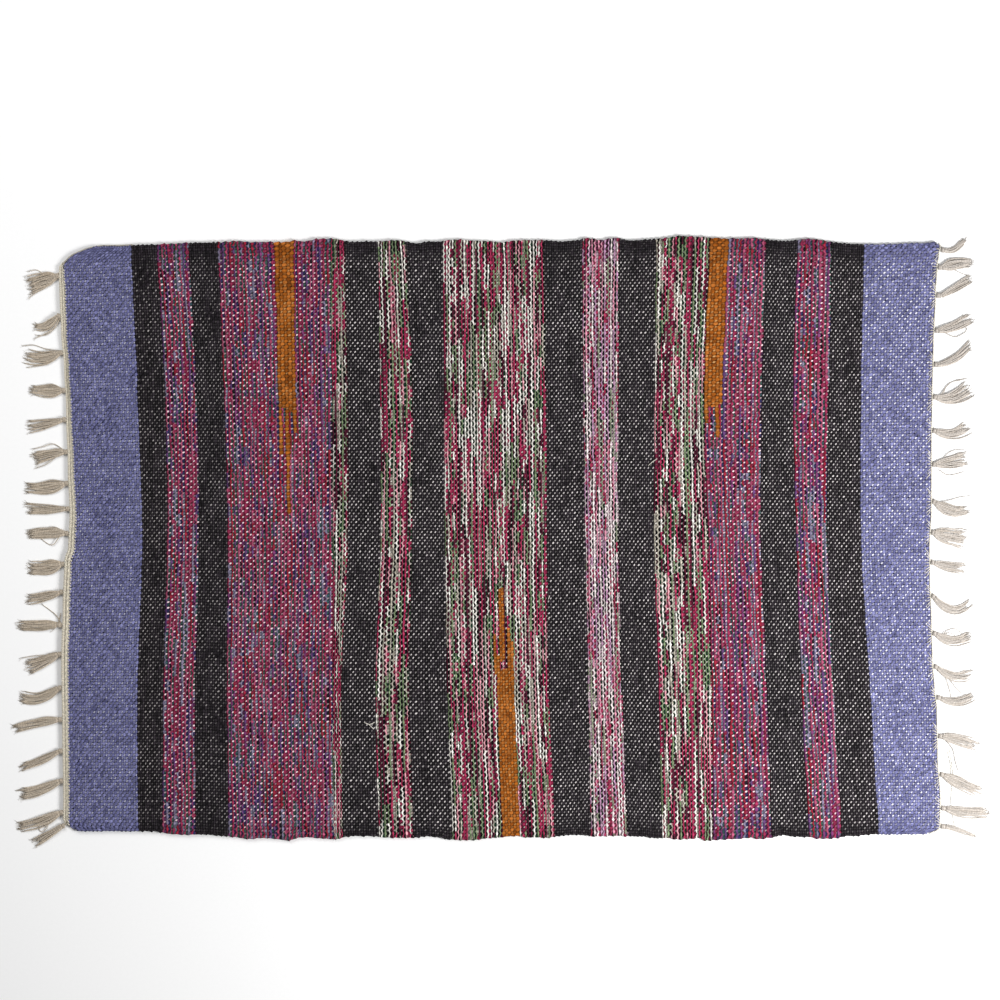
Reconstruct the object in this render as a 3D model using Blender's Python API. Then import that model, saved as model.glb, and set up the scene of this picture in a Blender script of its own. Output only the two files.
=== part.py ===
"""A flat-woven striped cotton kilim that lies flat, face up.

The frame: +X is to the right along the warp, +Y is up along the weft, +Z is up from the floor.
The origin is the middle of the underside. Tables are in millimetres, and meshes in metres.
"""
import math
import random
from collections import namedtuple

import bmesh
import bpy
from mathutils import Vector

MM = 0.001

# Driving sizes, in millimetres
CLOTH_LENGTH = 870.0
CLOTH_WIDTH = 600.0
CLOTH_THICKNESS = 4.0
SELVAGE_THICKNESS = 3.2
SELVAGE_BAND = 5.0
CLEARANCE = 0.3

# Low waves of the cloth's face: height, wavelength along x, wavelength along y
WAVES = ((0.20, 400.0, 520.0), (0.10, 185.0, 300.0))

# How finely the cloth's grid is cut
COLUMNS = 24
PLAIN_ROWS = 21

# Outward bulge of each edge from the plain rectangle: place along the edge, bulge
TOP_EDGE = (
    (-435.0, -5.0), (-345.0, -2.0), (-284.0, -1.0), (-204.0, 1.0), (-158.0, 2.0), (-103.0, 1.0),
    (-27.0, 0.0), (48.0, 1.0), (109.0, 3.0), (185.0, 4.5), (245.0, 3.0), (301.0, 1.5), (351.0, -2.0),
    (435.0, -1.0),
)
BOTTOM_EDGE = (
    (-435.0, -5.0), (-345.0, -5.0), (-315.0, -2.0), (-224.0, 2.0), (-163.0, 1.5), (-27.0, 2.0),
    (48.0, 1.0), (109.0, -1.0), (154.0, 1.0), (275.0, 1.0), (336.0, -1.0), (435.0, -2.0),
)
LEFT_EDGE = (
    (-300.0, 2.0), (-264.0, 1.6), (-198.0, 2.2), (-122.0, 2.7), (-72.0, 1.1), (-24.0, -0.3),
    (-10.0, -4.0), (24.0, -5.2), (74.0, -3.1), (130.0, -0.6), (175.0, 1.5), (210.0, 3.9), (250.0, 5.1),
    (274.0, 6.5), (300.0, 6.5),
)
RIGHT_EDGE = (
    (-300.0, 5.0), (-264.0, 5.6), (-218.0, 2.9), (-173.0, 2.2), (-153.0, -0.2), (-122.0, -2.4),
    (-82.0, -3.4), (-42.0, -4.9), (-7.0, -5.2), (29.0, -3.4), (89.0, -3.4), (140.0, -2.7), (195.0, -1.4),
    (245.0, 0.6), (276.0, 2.3), (288.0, 4.1), (300.0, 6.7),
)

# Rounded corners: run along the selvage, drop down the end, exponent of the curve (2 is an ellipse)
CORNERS = {
    ("top", "left"): (40.0, 22.0, 1.7),
    ("top", "right"): (11.0, 6.0, 2.0),
    ("bottom", "left"): (20.0, 9.0, 2.0),
    ("bottom", "right"): (28.0, 8.0, 2.0),
}
# Distances from a selvage at which the grid has a row, so that the corners come out round
CORNER_ROWS = (0.0, 1.3, 4.0, 9.0, 22.0)

# Headings: place along the end, width of the cord
LEFT_HEADING = (
    (-292.0, 3.0), (-284.0, 5.4), (-70.0, 7.2), (60.0, 6.6), (150.0, 4.4), (250.0, 5.4), (272.0, 4.6),
    (280.0, 1.6), (300.0, 1.4),
)
RIGHT_HEADING = ((-296.0, 2.0), (296.0, 2.0))
LEFT_HEADING_HEIGHT = 3.4
RIGHT_HEADING_HEIGHT = 2.4
HEADING_CREST = 0.6

# Tassels, top to bottom. Columns: y of the root, x and y of the tips, sideways bow of the middle,
# width at the belly, width at the tips, length of the knot
Tassel = namedtuple("Tassel", "root_y tip_x tip_y bow belly tips knot")
LEFT_TASSELS = (
    (264.5, -477.5, 255.6, 0.0, 17.0, 18.0, 5.0),
    (224.2, -470.9, 213.8, -4.5, 10.0, 9.0, 5.0),
    (187.1, -480.0, 184.0, -3.3, 14.0, 15.0, 5.0),
    (149.3, -475.0, 149.7, -0.8, 15.0, 10.0, 4.5),
    (119.7, -478.0, 112.4, -0.7, 9.0, 13.0, 5.0),
    (87.2, -471.4, 80.2, 1.0, 11.0, 18.0, 5.0),
    (55.5, -480.0, 50.9, -2.2, 15.0, 12.0, 5.0),
    (29.9, -480.5, 30.3, -0.7, 9.0, 11.0, 5.5),
    (5.2, -477.0, 4.5, 1.2, 13.0, 9.0, 5.5),
    (-25.7, -477.0, -30.8, -1.5, 17.0, 14.0, 4.5),
    (-54.0, -479.0, -62.0, -1.0, 10.0, 11.0, 5.0),
    (-87.0, -487.6, -87.7, 0.0, 12.0, 12.0, 8.0),
    (-116.7, -479.0, -130.6, -1.0, 12.0, 18.0, 5.0),
    (-150.7, -486.0, -159.8, -5.7, 12.0, 14.0, 5.0),
    (-182.5, -493.1, -192.1, 1.4, 11.0, 10.0, 5.5),
    (-214.3, -486.0, -231.4, -1.5, 9.0, 9.0, 5.5),
    (-244.4, -486.6, -257.6, -2.2, 11.0, 14.0, 5.0),
    (-276.3, -487.6, -290.9, -2.2, 13.0, 9.0, 5.0),
    (-289.7, -471.4, -307.6, 0.0, 8.0, 8.0, 3.5),
)
RIGHT_TASSELS = (
    (290.6, 466.9, 302.5, -4.8, 6.0, 5.0, 4.0),
    (273.0, 472.9, 277.8, 1.7, 14.0, 10.0, 5.0),
    (244.6, 472.9, 262.5, 0.0, 8.0, 7.0, 8.0),
    (209.4, 471.9, 223.4, -2.2, 11.0, 14.0, 4.0),
    (175.0, 474.0, 196.6, -4.3, 9.0, 11.0, 4.0),
    (142.3, 470.9, 151.8, -4.7, 13.0, 20.0, 4.5),
    (108.4, 469.4, 112.4, -4.8, 11.0, 15.0, 4.0),
    (74.5, 467.9, 80.2, 0.0, 13.0, 16.0, 4.0),
    (37.0, 468.9, 28.7, -4.5, 14.0, 10.0, 4.0),
    (5.9, 466.9, -0.5, -1.0, 17.0, 22.0, 3.5),
    (-24.3, 466.9, -30.3, -1.0, 10.0, 12.0, 4.0),
    (-58.3, 471.9, -64.0, -10.5, 10.0, 10.0, 4.0),
    (-95.8, 472.9, -96.3, -6.8, 11.0, 13.0, 4.5),
    (-129.4, 474.0, -135.6, -6.6, 10.0, 11.0, 4.5),
    (-160.5, 474.5, -158.8, -5.0, 9.0, 12.0, 5.0),
    (-199.5, 479.0, -209.2, 1.5, 13.0, 13.0, 4.5),
    (-238.1, 483.0, -256.6, 0.0, 14.0, 10.0, 4.5),
    (-272.0, 490.1, -275.3, -2.0, 13.0, 11.0, 6.0),
    (-290.4, 477.0, -300.0, 1.5, 6.0, 5.0, 6.0),
)

# Knots and locks
KNOT_WIDTH = 6.6
KNOT_HEIGHT = 4.2
# Cross-sections of a knot: share of its length, of its width, of its height
KNOT_SECTIONS = ((0.0, 0.80, 0.80), (0.45, 1.0, 1.0), (1.0, 0.88, 0.78))
KNOT_SHOULDER = 0.55
KNOT_CREST = 0.5
LOCK_ROOT_WIDTH = 5.0
BELLY_PLACE = 0.4
LOCK_GAP = 0.4
LOCK_PITCH = 2.3
FEWEST_LOCKS = 3
MOST_LOCKS = 7
LOCK_CREST = 0.6
# Cross-sections of a lock: share of its length, height
LOCK_SECTIONS = ((0.0, 1.6), (0.18, 2.5), (0.45, 2.8), (0.75, 2.2), (1.0, 1.4))
LOCK_LENGTH_SPREAD = 0.07
LOCK_SEED = 11


def remove_scene_objects():
    for scene_object in list(bpy.data.objects):
        bpy.data.objects.remove(scene_object, do_unlink=True)


def make_material(name, colour, roughness):
    material = bpy.data.materials.new(name)
    material.use_nodes = True
    shader = material.node_tree.nodes["Principled BSDF"]
    shader.inputs["Base Color"].default_value = (*colour, 1.0)
    shader.inputs["Roughness"].default_value = roughness
    shader.inputs["Metallic"].default_value = 0.0
    material.diffuse_color = (*colour, 1.0)
    return material


def weft_material():
    return make_material("weft_cotton", (0.12, 0.075, 0.14), 0.9)


def warp_material():
    return make_material("warp_cotton", (0.60, 0.53, 0.43), 0.9)


def read_table(table, place):
    """Value at a place along a table of (place, value) rows, eased between the rows."""
    if place <= table[0][0]:
        return table[0][1]
    for (low, low_value), (high, high_value) in zip(table, table[1:]):
        if place <= high:
            share = (place - low) / (high - low)
            eased = share * share * (3.0 - 2.0 * share)
            return low_value + (high_value - low_value) * eased
    return table[-1][1]


def corner_inset(corner, distance):
    """How far a corner's curve draws the end in, at a distance from the selvage."""
    run, drop, exponent = CORNERS[corner]
    if distance >= drop:
        return 0.0
    across = 1.0 - distance / drop
    return run * (1.0 - (1.0 - across ** exponent) ** (1.0 / exponent))


def row_places():
    """Distances of the cloth's rows from its bottom selvage."""
    low = list(CORNER_ROWS)
    high = [CLOTH_WIDTH - distance for distance in reversed(CORNER_ROWS)]
    step = (high[0] - low[-1]) / (PLAIN_ROWS + 1)
    middle = [low[-1] + step * (number + 1) for number in range(PLAIN_ROWS)]
    return low + middle + high


def row_ends(place):
    """x of the two ends of the row at a distance from the bottom selvage."""
    y = place - CLOTH_WIDTH / 2
    left = -CLOTH_LENGTH / 2 - read_table(LEFT_EDGE, y)
    right = CLOTH_LENGTH / 2 + read_table(RIGHT_EDGE, y)
    left += corner_inset(("bottom", "left"), place) + corner_inset(("top", "left"), CLOTH_WIDTH - place)
    right -= corner_inset(("bottom", "right"), place) + corner_inset(("top", "right"), CLOTH_WIDTH - place)
    return left, right


def row_height(x, place):
    """y of a row at x, between the bowed selvages."""
    bottom = -CLOTH_WIDTH / 2 - read_table(BOTTOM_EDGE, x)
    top = CLOTH_WIDTH / 2 + read_table(TOP_EDGE, x)
    return bottom + (top - bottom) * place / CLOTH_WIDTH


def column_shares():
    """Shares of a row's length at which it has a point, with one close to each end."""
    margin = SELVAGE_BAND / CLOTH_LENGTH
    inner = [margin + (1.0 - 2.0 * margin) * number / (COLUMNS - 3) for number in range(COLUMNS - 2)]
    return [0.0] + inner + [1.0]


def cloth_thickness(x, y, place, share):
    """Thickness of the cloth: low waves, and a thinner rim."""
    if place in (0.0, CLOTH_WIDTH) or share in (0.0, 1.0):
        return SELVAGE_THICKNESS
    thickness = CLOTH_THICKNESS
    for height, along_x, along_y in WAVES:
        thickness += height * math.sin(2.0 * math.pi * (x / along_x + y / along_y))
    return thickness


def cloth_grid():
    """Rows of (x, y, thickness) that cover the cloth."""
    rows = []
    for place in row_places():
        left, right = row_ends(place)
        row = []
        for share in column_shares():
            x = left + (right - left) * share
            y = row_height(x, place)
            row.append((x, y, cloth_thickness(x, y, place, share)))
        rows.append(row)
    return rows


def add_object(name, mesh, material):
    mesh.materials.append(material)
    model = bpy.data.objects.new(name, mesh)
    bpy.context.scene.collection.objects.link(model)
    return model


def object_from_bmesh(name, shape, material):
    bmesh.ops.recalc_face_normals(shape, faces=shape.faces)
    mesh = bpy.data.meshes.new(name)
    shape.to_mesh(mesh)
    shape.free()
    return add_object(name, mesh, material)


def add_point(shape, x, y, z):
    return shape.verts.new((x * MM, y * MM, z * MM))


def add_cloth(grid, material):
    """One closed slab: the grid at its thickness, the grid on the floor, and a wall round the rim."""
    shape = bmesh.new()
    upper = [[add_point(shape, x, y, thickness) for x, y, thickness in row] for row in grid]
    lower = [[add_point(shape, x, y, 0.0) for x, y, thickness in row] for row in grid]
    for near, far, near_low, far_low in zip(upper, upper[1:], lower, lower[1:]):
        for column in range(len(near) - 1):
            shape.faces.new((near[column], near[column + 1], far[column + 1], far[column]))
            shape.faces.new((near_low[column], far_low[column], far_low[column + 1], near_low[column + 1]))
    rim_upper = rim_loop(upper)
    rim_lower = rim_loop(lower)
    for number in range(len(rim_upper)):
        after = (number + 1) % len(rim_upper)
        shape.faces.new((rim_lower[number], rim_lower[after], rim_upper[after], rim_upper[number]))
    return object_from_bmesh("cloth", shape, material)


def rim_loop(rows):
    """The points of a grid's rim, once round."""
    right_side = [row[-1] for row in rows[1:-1]]
    left_side = [row[0] for row in reversed(rows[1:-1])]
    return list(rows[0]) + right_side + list(reversed(rows[-1])) + left_side


def heading_line(grid, side, lowest, highest):
    """Rim points of one end of the cloth between two heights, from bottom to top."""
    index = 0 if side < 0 else -1
    points = [Vector(row[index][:2]) for row in grid]
    return [point for point in points if lowest <= point.y <= highest]


def outward_normals(points, side):
    normals = []
    for number, point in enumerate(points):
        before = points[max(number - 1, 0)]
        after = points[min(number + 1, len(points) - 1)]
        along = (after - before).normalized()
        normals.append(Vector((along.y, -along.x)) * side)
    return normals


def heading_edges(grid, side, table):
    """Inner and outer edge of a heading, which follows the end of the cloth."""
    line = heading_line(grid, side, table[0][0], table[-1][0])
    normals = outward_normals(line, side)
    inner = [point + normal * CLEARANCE for point, normal in zip(line, normals)]
    outer = [point + normal * read_table(table, point.y) for point, normal in zip(inner, normals)]
    return inner, outer


def add_heading(name, edges, height, material):
    """A low strip whose top is narrower than its foot."""
    shape = bmesh.new()
    rings = []
    for inner, outer in zip(*edges):
        middle = (inner + outer) / 2
        crest_in = middle + (inner - middle) * HEADING_CREST
        crest_out = middle + (outer - middle) * HEADING_CREST
        rings.append([
            add_point(shape, inner.x, inner.y, 0.0),
            add_point(shape, outer.x, outer.y, 0.0),
            add_point(shape, crest_out.x, crest_out.y, height),
            add_point(shape, crest_in.x, crest_in.y, height),
        ])
    join_rings(shape, rings)
    shape.faces.new(rings[0])
    shape.faces.new(rings[-1])
    return object_from_bmesh(name, shape, material)


def join_rings(shape, rings):
    for near, far in zip(rings, rings[1:]):
        for number in range(len(near)):
            after = (number + 1) % len(near)
            shape.faces.new((near[number], near[after], far[after], far[number]))


def heading_reach(outer, side, low, high):
    """How far out a heading reaches between two heights."""
    reaches = [point.x * side for point in outer if low <= point.y <= high]
    for near, far in zip(outer, outer[1:]):
        for height in (low, high):
            if min(near.y, far.y) <= height <= max(near.y, far.y) and near.y != far.y:
                share = (height - near.y) / (far.y - near.y)
                reaches.append((near.x + (far.x - near.x) * share) * side)
    return max(reaches)


def lock_count(tassel):
    return max(FEWEST_LOCKS, min(MOST_LOCKS, round(tassel.belly / LOCK_PITCH)))


def bundle_width(tassel, share):
    """Width of the whole bunch at a share of its length."""
    if share < BELLY_PLACE:
        opened = math.sin(share / BELLY_PLACE * math.pi / 2)
        return LOCK_ROOT_WIDTH + (tassel.belly - LOCK_ROOT_WIDTH) * opened
    return tassel.belly + (tassel.tips - tassel.belly) * (share - BELLY_PLACE) / (1.0 - BELLY_PLACE)


def lock_spans(tassel, share):
    """Sideways span of each lock at a share of the bunch's length."""
    count = lock_count(tassel)
    pitch = (bundle_width(tassel, share) + LOCK_GAP) / count
    left = -pitch * count / 2
    return [(left + pitch * number + LOCK_GAP / 2, left + pitch * (number + 1) - LOCK_GAP / 2)
            for number in range(count)]


def bunch_point(tassel, start, share):
    """Place and sideways direction of a bunch's middle line at a share of its length."""
    run = Vector((tassel.tip_x, tassel.tip_y)) - start
    place = start + run * share + Vector((0.0, 4.0 * tassel.bow * share * (1.0 - share)))
    along = run + Vector((0.0, 4.0 * tassel.bow * (1.0 - 2.0 * share)))
    along.normalize()
    sideways = Vector((-along.y, along.x))
    return place, sideways if sideways.y > 0.0 else -sideways


def knot_section(shape, x, y, width, height):
    """Six points round a knot, flat on the floor, from its foot's lower-y corner."""
    half = width / 2
    crest = half * KNOT_CREST
    shoulder = height * KNOT_SHOULDER
    outline = ((-half, 0.0), (half, 0.0), (half, shoulder), (crest, height), (-crest, height), (-half, shoulder))
    return [add_point(shape, x, y + across, z) for across, z in outline]


def add_sockets(shape, tassel, start):
    """The corner points of each lock's root in the front of the knot."""
    height = LOCK_SECTIONS[0][1]
    sockets = []
    for low, high in lock_spans(tassel, 0.0):
        corners = ((low, 0.0), (high, 0.0), (high, height), (low, height))
        sockets.append([add_point(shape, start.x, start.y + across, z) for across, z in corners])
    return sockets


def add_knot(shape, tassel, back, start):
    """A knot from its back to its front, where the locks start. Returns the locks' roots."""
    length = start.x - back
    first, middle, last = [
        knot_section(shape, back + length * share, start.y, KNOT_WIDTH * wide, KNOT_HEIGHT * high)
        for share, wide, high in KNOT_SECTIONS
    ]
    sockets = add_sockets(shape, tassel, start)
    for near, far in ((first, middle), (middle, last)):
        for number in range(1, len(near)):
            after = (number + 1) % len(near)
            shape.faces.new((near[number], near[after], far[after], far[number]))
    shape.faces.new(first)
    shape.faces.new((first[0], first[1], middle[1], middle[0]))
    foot = [point for socket in sockets for point in socket[:2]]
    shape.faces.new([middle[1], middle[0], last[0]] + foot + [last[1]])
    comb = [point for low_foot, high_foot, high_top, low_top in sockets
            for point in (low_foot, low_top, high_top, high_foot)]
    shape.faces.new([last[0]] + comb + last[1:])
    return sockets


def add_lock(shape, tassel, start, socket, number, end_share):
    """One lock, four-sided and flat on the floor, from its root to its cut end."""
    rings = [socket]
    for section_share, height in LOCK_SECTIONS[1:]:
        share = section_share * end_share
        place, sideways = bunch_point(tassel, start, share)
        low, high = lock_spans(tassel, share)[number]
        middle = (low + high) / 2
        crest = (high - low) / 2 * LOCK_CREST
        corners = ((low, 0.0), (high, 0.0), (middle + crest, height), (middle - crest, height))
        points = [(place + sideways * across, z) for across, z in corners]
        rings.append([add_point(shape, point.x, point.y, z) for point, z in points])
    join_rings(shape, rings)
    shape.faces.new(rings[-1])


def add_tassel(name, side, tassel, heading_outer, chance, material):
    """A knot against the heading and its locks, as one solid."""
    low = tassel.root_y - KNOT_WIDTH / 2
    high = tassel.root_y + KNOT_WIDTH / 2
    back = side * (heading_reach(heading_outer, side, low, high) + CLEARANCE)
    start = Vector((back + side * tassel.knot, tassel.root_y))
    shape = bmesh.new()
    sockets = add_knot(shape, tassel, back, start)
    for number, socket in enumerate(sockets):
        end_share = 1.0 - LOCK_LENGTH_SPREAD * chance.random()
        add_lock(shape, tassel, start, socket, number, end_share)
    return object_from_bmesh(name, shape, material)


def add_fringe(label, side, table, heading_outer, material):
    chance = random.Random(LOCK_SEED)
    for number, row in enumerate(table, start=1):
        add_tassel(f"tassel_{label}_{number:02d}", side, Tassel(*row), heading_outer, chance, material)


def main():
    remove_scene_objects()
    weft = weft_material()
    warp = warp_material()
    grid = cloth_grid()
    add_cloth(grid, weft)
    left_edges = heading_edges(grid, -1, LEFT_HEADING)
    right_edges = heading_edges(grid, 1, RIGHT_HEADING)
    add_heading("heading_left", left_edges, LEFT_HEADING_HEIGHT, warp)
    add_heading("heading_right", right_edges, RIGHT_HEADING_HEIGHT, warp)
    add_fringe("left", -1, LEFT_TASSELS, left_edges[1], warp)
    add_fringe("right", 1, RIGHT_TASSELS, right_edges[1], warp)


main()
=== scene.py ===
"""The looks of a flat-woven striped cotton kilim that lies flat, face up.

The frame: +X is to the right along the warp, +Y is up along the weft, +Z is up from the floor.
The origin is the middle of the underside. Tables are in millimetres, and meshes in metres.
A place in the weave is a pick count from the left end and a warp count from the bottom selvage.
"""
import math
from collections import namedtuple

import bpy
import numpy as np
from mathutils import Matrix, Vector


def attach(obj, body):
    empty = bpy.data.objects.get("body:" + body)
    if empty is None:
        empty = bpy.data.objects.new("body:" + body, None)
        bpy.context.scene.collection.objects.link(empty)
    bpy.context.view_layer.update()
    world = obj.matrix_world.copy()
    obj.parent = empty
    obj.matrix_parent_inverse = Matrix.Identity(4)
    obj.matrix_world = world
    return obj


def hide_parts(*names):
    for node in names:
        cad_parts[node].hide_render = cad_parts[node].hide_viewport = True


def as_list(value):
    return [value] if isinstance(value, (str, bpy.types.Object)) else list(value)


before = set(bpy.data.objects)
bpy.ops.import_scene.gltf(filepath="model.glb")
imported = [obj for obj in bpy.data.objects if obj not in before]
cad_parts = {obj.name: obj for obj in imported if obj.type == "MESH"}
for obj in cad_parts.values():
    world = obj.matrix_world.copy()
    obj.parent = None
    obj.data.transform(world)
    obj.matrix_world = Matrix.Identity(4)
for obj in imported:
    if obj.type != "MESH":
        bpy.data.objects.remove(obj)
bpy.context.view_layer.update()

MM = 0.001

# Driving sizes of the cloth, in millimetres
CLOTH_LENGTH = 870.0
CLOTH_WIDTH = 600.0
CLOTH_THICKNESS = 4.0
CLEARANCE = 0.3
WARPS = 204
WARP_PITCH = CLOTH_WIDTH / WARPS

# Low waves of the cloth's face: height, wavelength along x, wavelength along y
WAVES = ((0.20, 400.0, 520.0), (0.10, 185.0, 300.0))

# Outward bulge of each edge from the plain rectangle: place along the edge, bulge
TOP_EDGE = (
    (-435, -5), (-345, -2), (-284, -1), (-204, 1), (-158, 2), (-103, 1), (-27, 0), (48, 1), (109, 3),
    (185, 4.5), (245, 3), (301, 1.5), (351, -2), (435, -1),
)
BOTTOM_EDGE = (
    (-435, -5), (-345, -5), (-315, -2), (-224, 2), (-163, 1.5), (-27, 2), (48, 1), (109, -1), (154, 1),
    (275, 1), (336, -1), (435, -2),
)
LEFT_EDGE = (
    (-300, 2), (-264, 1.6), (-198, 2.2), (-122, 2.7), (-72, 1.1), (-24, -0.3), (-10, -4), (24, -5.2),
    (74, -3.1), (130, -0.6), (175, 1.5), (210, 3.9), (250, 5.1), (274, 6.5), (300, 6.5),
)
RIGHT_EDGE = (
    (-300, 5), (-264, 5.6), (-218, 2.9), (-173, 2.2), (-153, -0.2), (-122, -2.4), (-82, -3.4),
    (-42, -4.9), (-7, -5.2), (29, -3.4), (89, -3.4), (140, -2.7), (195, -1.4), (245, 0.6), (276, 2.3),
    (288, 4.1), (300, 6.7),
)

# Small waves of each selvage, which die away inwards: place along it, outward reach
BOTTOM_WAVES = (
    (-353, 0), (-334, 2.3), (-321, 0.8), (-300, 0), (-274, 0.5), (-256, 2.3), (-238, 0.3), (-214, 2.4),
    (-202, -0.6), (-168, 2), (-153, -1.5), (-129, -1.6), (-120, 0), (-93, -0.2), (-75, -1.5),
    (-62, -0.3), (-55, 2), (-36, 2.2), (-8, 0.2), (16, -1.6), (24, 0.3), (43, 0.4), (58, -1.1),
    (73, -2), (85, -0.6), (91, 1.2), (125, 0.4), (143, -0.3), (155, 1.5), (168, 1), (177, 2.5),
    (194, 2.4), (198, 0.3), (204, 3.8), (216, 3.2), (234, 2.2), (252, 0.5), (258, 2.3), (270, 1),
    (282, -2.4), (294, 0.2), (306, 1.3), (325, 4.3), (337, 3.2), (350, 1.2), (379, -0.8), (397, 0),
)
TOP_WAVES = (
    (-435, 0), (-425, -0.9), (-380, -2.4), (-353, -1.8), (-323, -0.6), (-284, -0.4), (-268, 0.7),
    (-250, -1.1), (-223, -2.5), (-208, -1.2), (-201, -1.8), (-183, 0.4), (-168, 0), (-153, -3.5),
    (-129, -2.2), (-105, -0.3), (-87, -3.5), (-68, -1.2), (-47, 1.2), (-22, 0), (4, -2.2), (11, -0.2),
    (43, -0.5), (58, -1.8), (76, -1.7), (84, 0.6), (101, -2.4), (113, 0), (131, -3.2), (149, -2.7),
    (171, -1.2), (179, 1), (190, -0.2), (222, -1.5), (252, 0), (283, -2.6), (313, 0.9), (337, -0.8),
    (351, -1.6), (397, -2), (427, -1), (435, 0),
)
WAVE_DEPTH = 26.0

# Rounded corners: run along the selvage, drop down the end, exponent of the curve (2 is an ellipse)
CORNERS = {
    ("top", "left"): (40.0, 22.0, 1.7),
    ("top", "right"): (11.0, 6.0, 2.0),
    ("bottom", "left"): (20.0, 9.0, 2.0),
    ("bottom", "right"): (28.0, 8.0, 2.0),
}

# The stripes of weft, left to right. The last five columns are the x of the stripe's right edge at
# the heights below. The last stripe ends at the cloth's own edge.
STRIPE_HEIGHTS = (-297.0, -150.0, 0.0, 150.0, 298.0)
Stripe = namedtuple("Stripe", "name yarn picks bottom low middle high top")
STRIPES = (
    Stripe("blue_left", "blue_left", 30, -366.6, -367.0, -362.5, -367.1, -373.8),
    Stripe("black_1", "black_left", 11, -342.3, -341.3, -337.3, -339.8, -347.9),
    Stripe("pink_1", "pink", 9, -308.9, -308.9, -304.7, -307.6, -315.6),
    Stripe("black_2", "black_left", 13, -275.3, -277.3, -276.3, -280.3, -286.4),
    Stripe("pink_2", "pink", 30, -169.4, -171.0, -170.4, -171.4, -172.4),
    Stripe("mixed_1", "mixed", 5, -159.9, -161.5, -155.3, -155.3, -158.3),
    Stripe("black_3", "black", 14, -124.4, -127.6, -122.5, -123.0, -125.0),
    Stripe("mixed_2", "mixed", 10, -89.4, -93.4, -90.8, -90.3, -96.8),
    Stripe("black_4", "black", 15, -50.4, -55.1, -57.5, -58.5, -59.5),
    Stripe("mixed_3", "mixed", 35, 53.4, 47.4, 45.4, 44.4, 42.4),
    Stripe("black_5", "black", 17, 89.7, 86.7, 83.7, 81.7, 80.7),
    Stripe("lilac", "lilac", 12, 127.1, 121.0, 117.5, 117.5, 118.5),
    Stripe("black_6", "black", 17, 161.3, 157.7, 153.3, 153.8, 155.3),
    Stripe("mixed_4", "mixed", 17, 212.8, 211.2, 207.7, 203.7, 209.7),
    Stripe("pink_3", "pink", 15, 271.9, 266.7, 260.7, 262.2, 266.2),
    Stripe("black_7", "black", 16, 309.1, 301.5, 296.5, 293.4, 297.5),
    Stripe("pink_4", "pink", 9, 342.2, 334.4, 327.7, 329.7, 332.3),
    Stripe("black_8", "black", 15, 379.2, 370.5, 361.5, 361.5, 364.5),
    Stripe("blue_right", "blue_right", 26, 435.0, 435.0, 435.0, 435.0, 435.0),
)
PICKS = sum(stripe.picks for stripe in STRIPES)

# The relief of the weave. Heights are shares of the relief, which is a share of the pick's width.
RELIEF = 0.55
WEFT_OVER_WARP = 1.0
WEFT_FLANK = 0.80
WARP_OVER_WEFT = 0.66
WARP_BETWEEN_PICKS = 0.34
GAP_BETWEEN_PICKS = 0.12
HEIGHT_SPREAD = 0.07
# Stripes of fine yarn, where the valleys between the picks are shallower: share of the depth
SHALLOW_VALLEYS = {"blue_left": 0.40, "blue_right": 0.50}
# How far a pick swells over a warp into its neighbours, and how much its width varies
PICK_SWELL = 0.13
PICK_WIDTH_SPREAD = 0.10
# Slow sideways wander of a pick: share of its width, length of one wander
PICK_WANDER = 0.20
WANDER_LENGTH = 9.0
# How far a warp strays up and down, the usual length of a stray in half picks, and how far a
# single point strays
WARP_WANDER = 0.24
WARP_WANDER_LENGTH = 11.0
POINT_STRAY = 0.14
# Rim of a selvage, from the face to the underside: share of the reach, share of the thickness
SELVAGE_ROWS = ((0.75, 0.80), (1.0, 0.46), (0.78, 0.14))
SELVAGE_FOOT = (0.45, 0.02)
# Least and most that one turn of the weft stands out at a selvage, and how far all are drawn in
SELVAGE_LOOP = (0.3, 1.5)
SELVAGE_LOOP_IN = 0.35
# Warp counts, from the selvage, of the rim's rows on the face's map and of its foot on the underside's
RIM_COUNTS = (-0.5, -0.2, 0.1)
FOOT_COUNT = -0.8
# How high the underside lies at every second crossing, and where two stripes meet: shares of the
# relief. At the other crossings it touches the floor.
UNDERSIDE_HOLLOW = 0.45
UNDERSIDE_SEAM = 0.75
WEAVE_SEED = 5

# Headings: place along the end, width of the cord
LEFT_HEADING = (
    (-288.0, 3.4), (-282.0, 5.2), (-70.0, 6.2), (60.0, 5.4), (150.0, 4.4), (250.0, 5.4), (272.0, 4.6),
    (280.0, 1.6), (300.0, 1.4),
)
RIGHT_HEADING = ((-296.0, 2.0), (296.0, 2.0))

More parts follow.
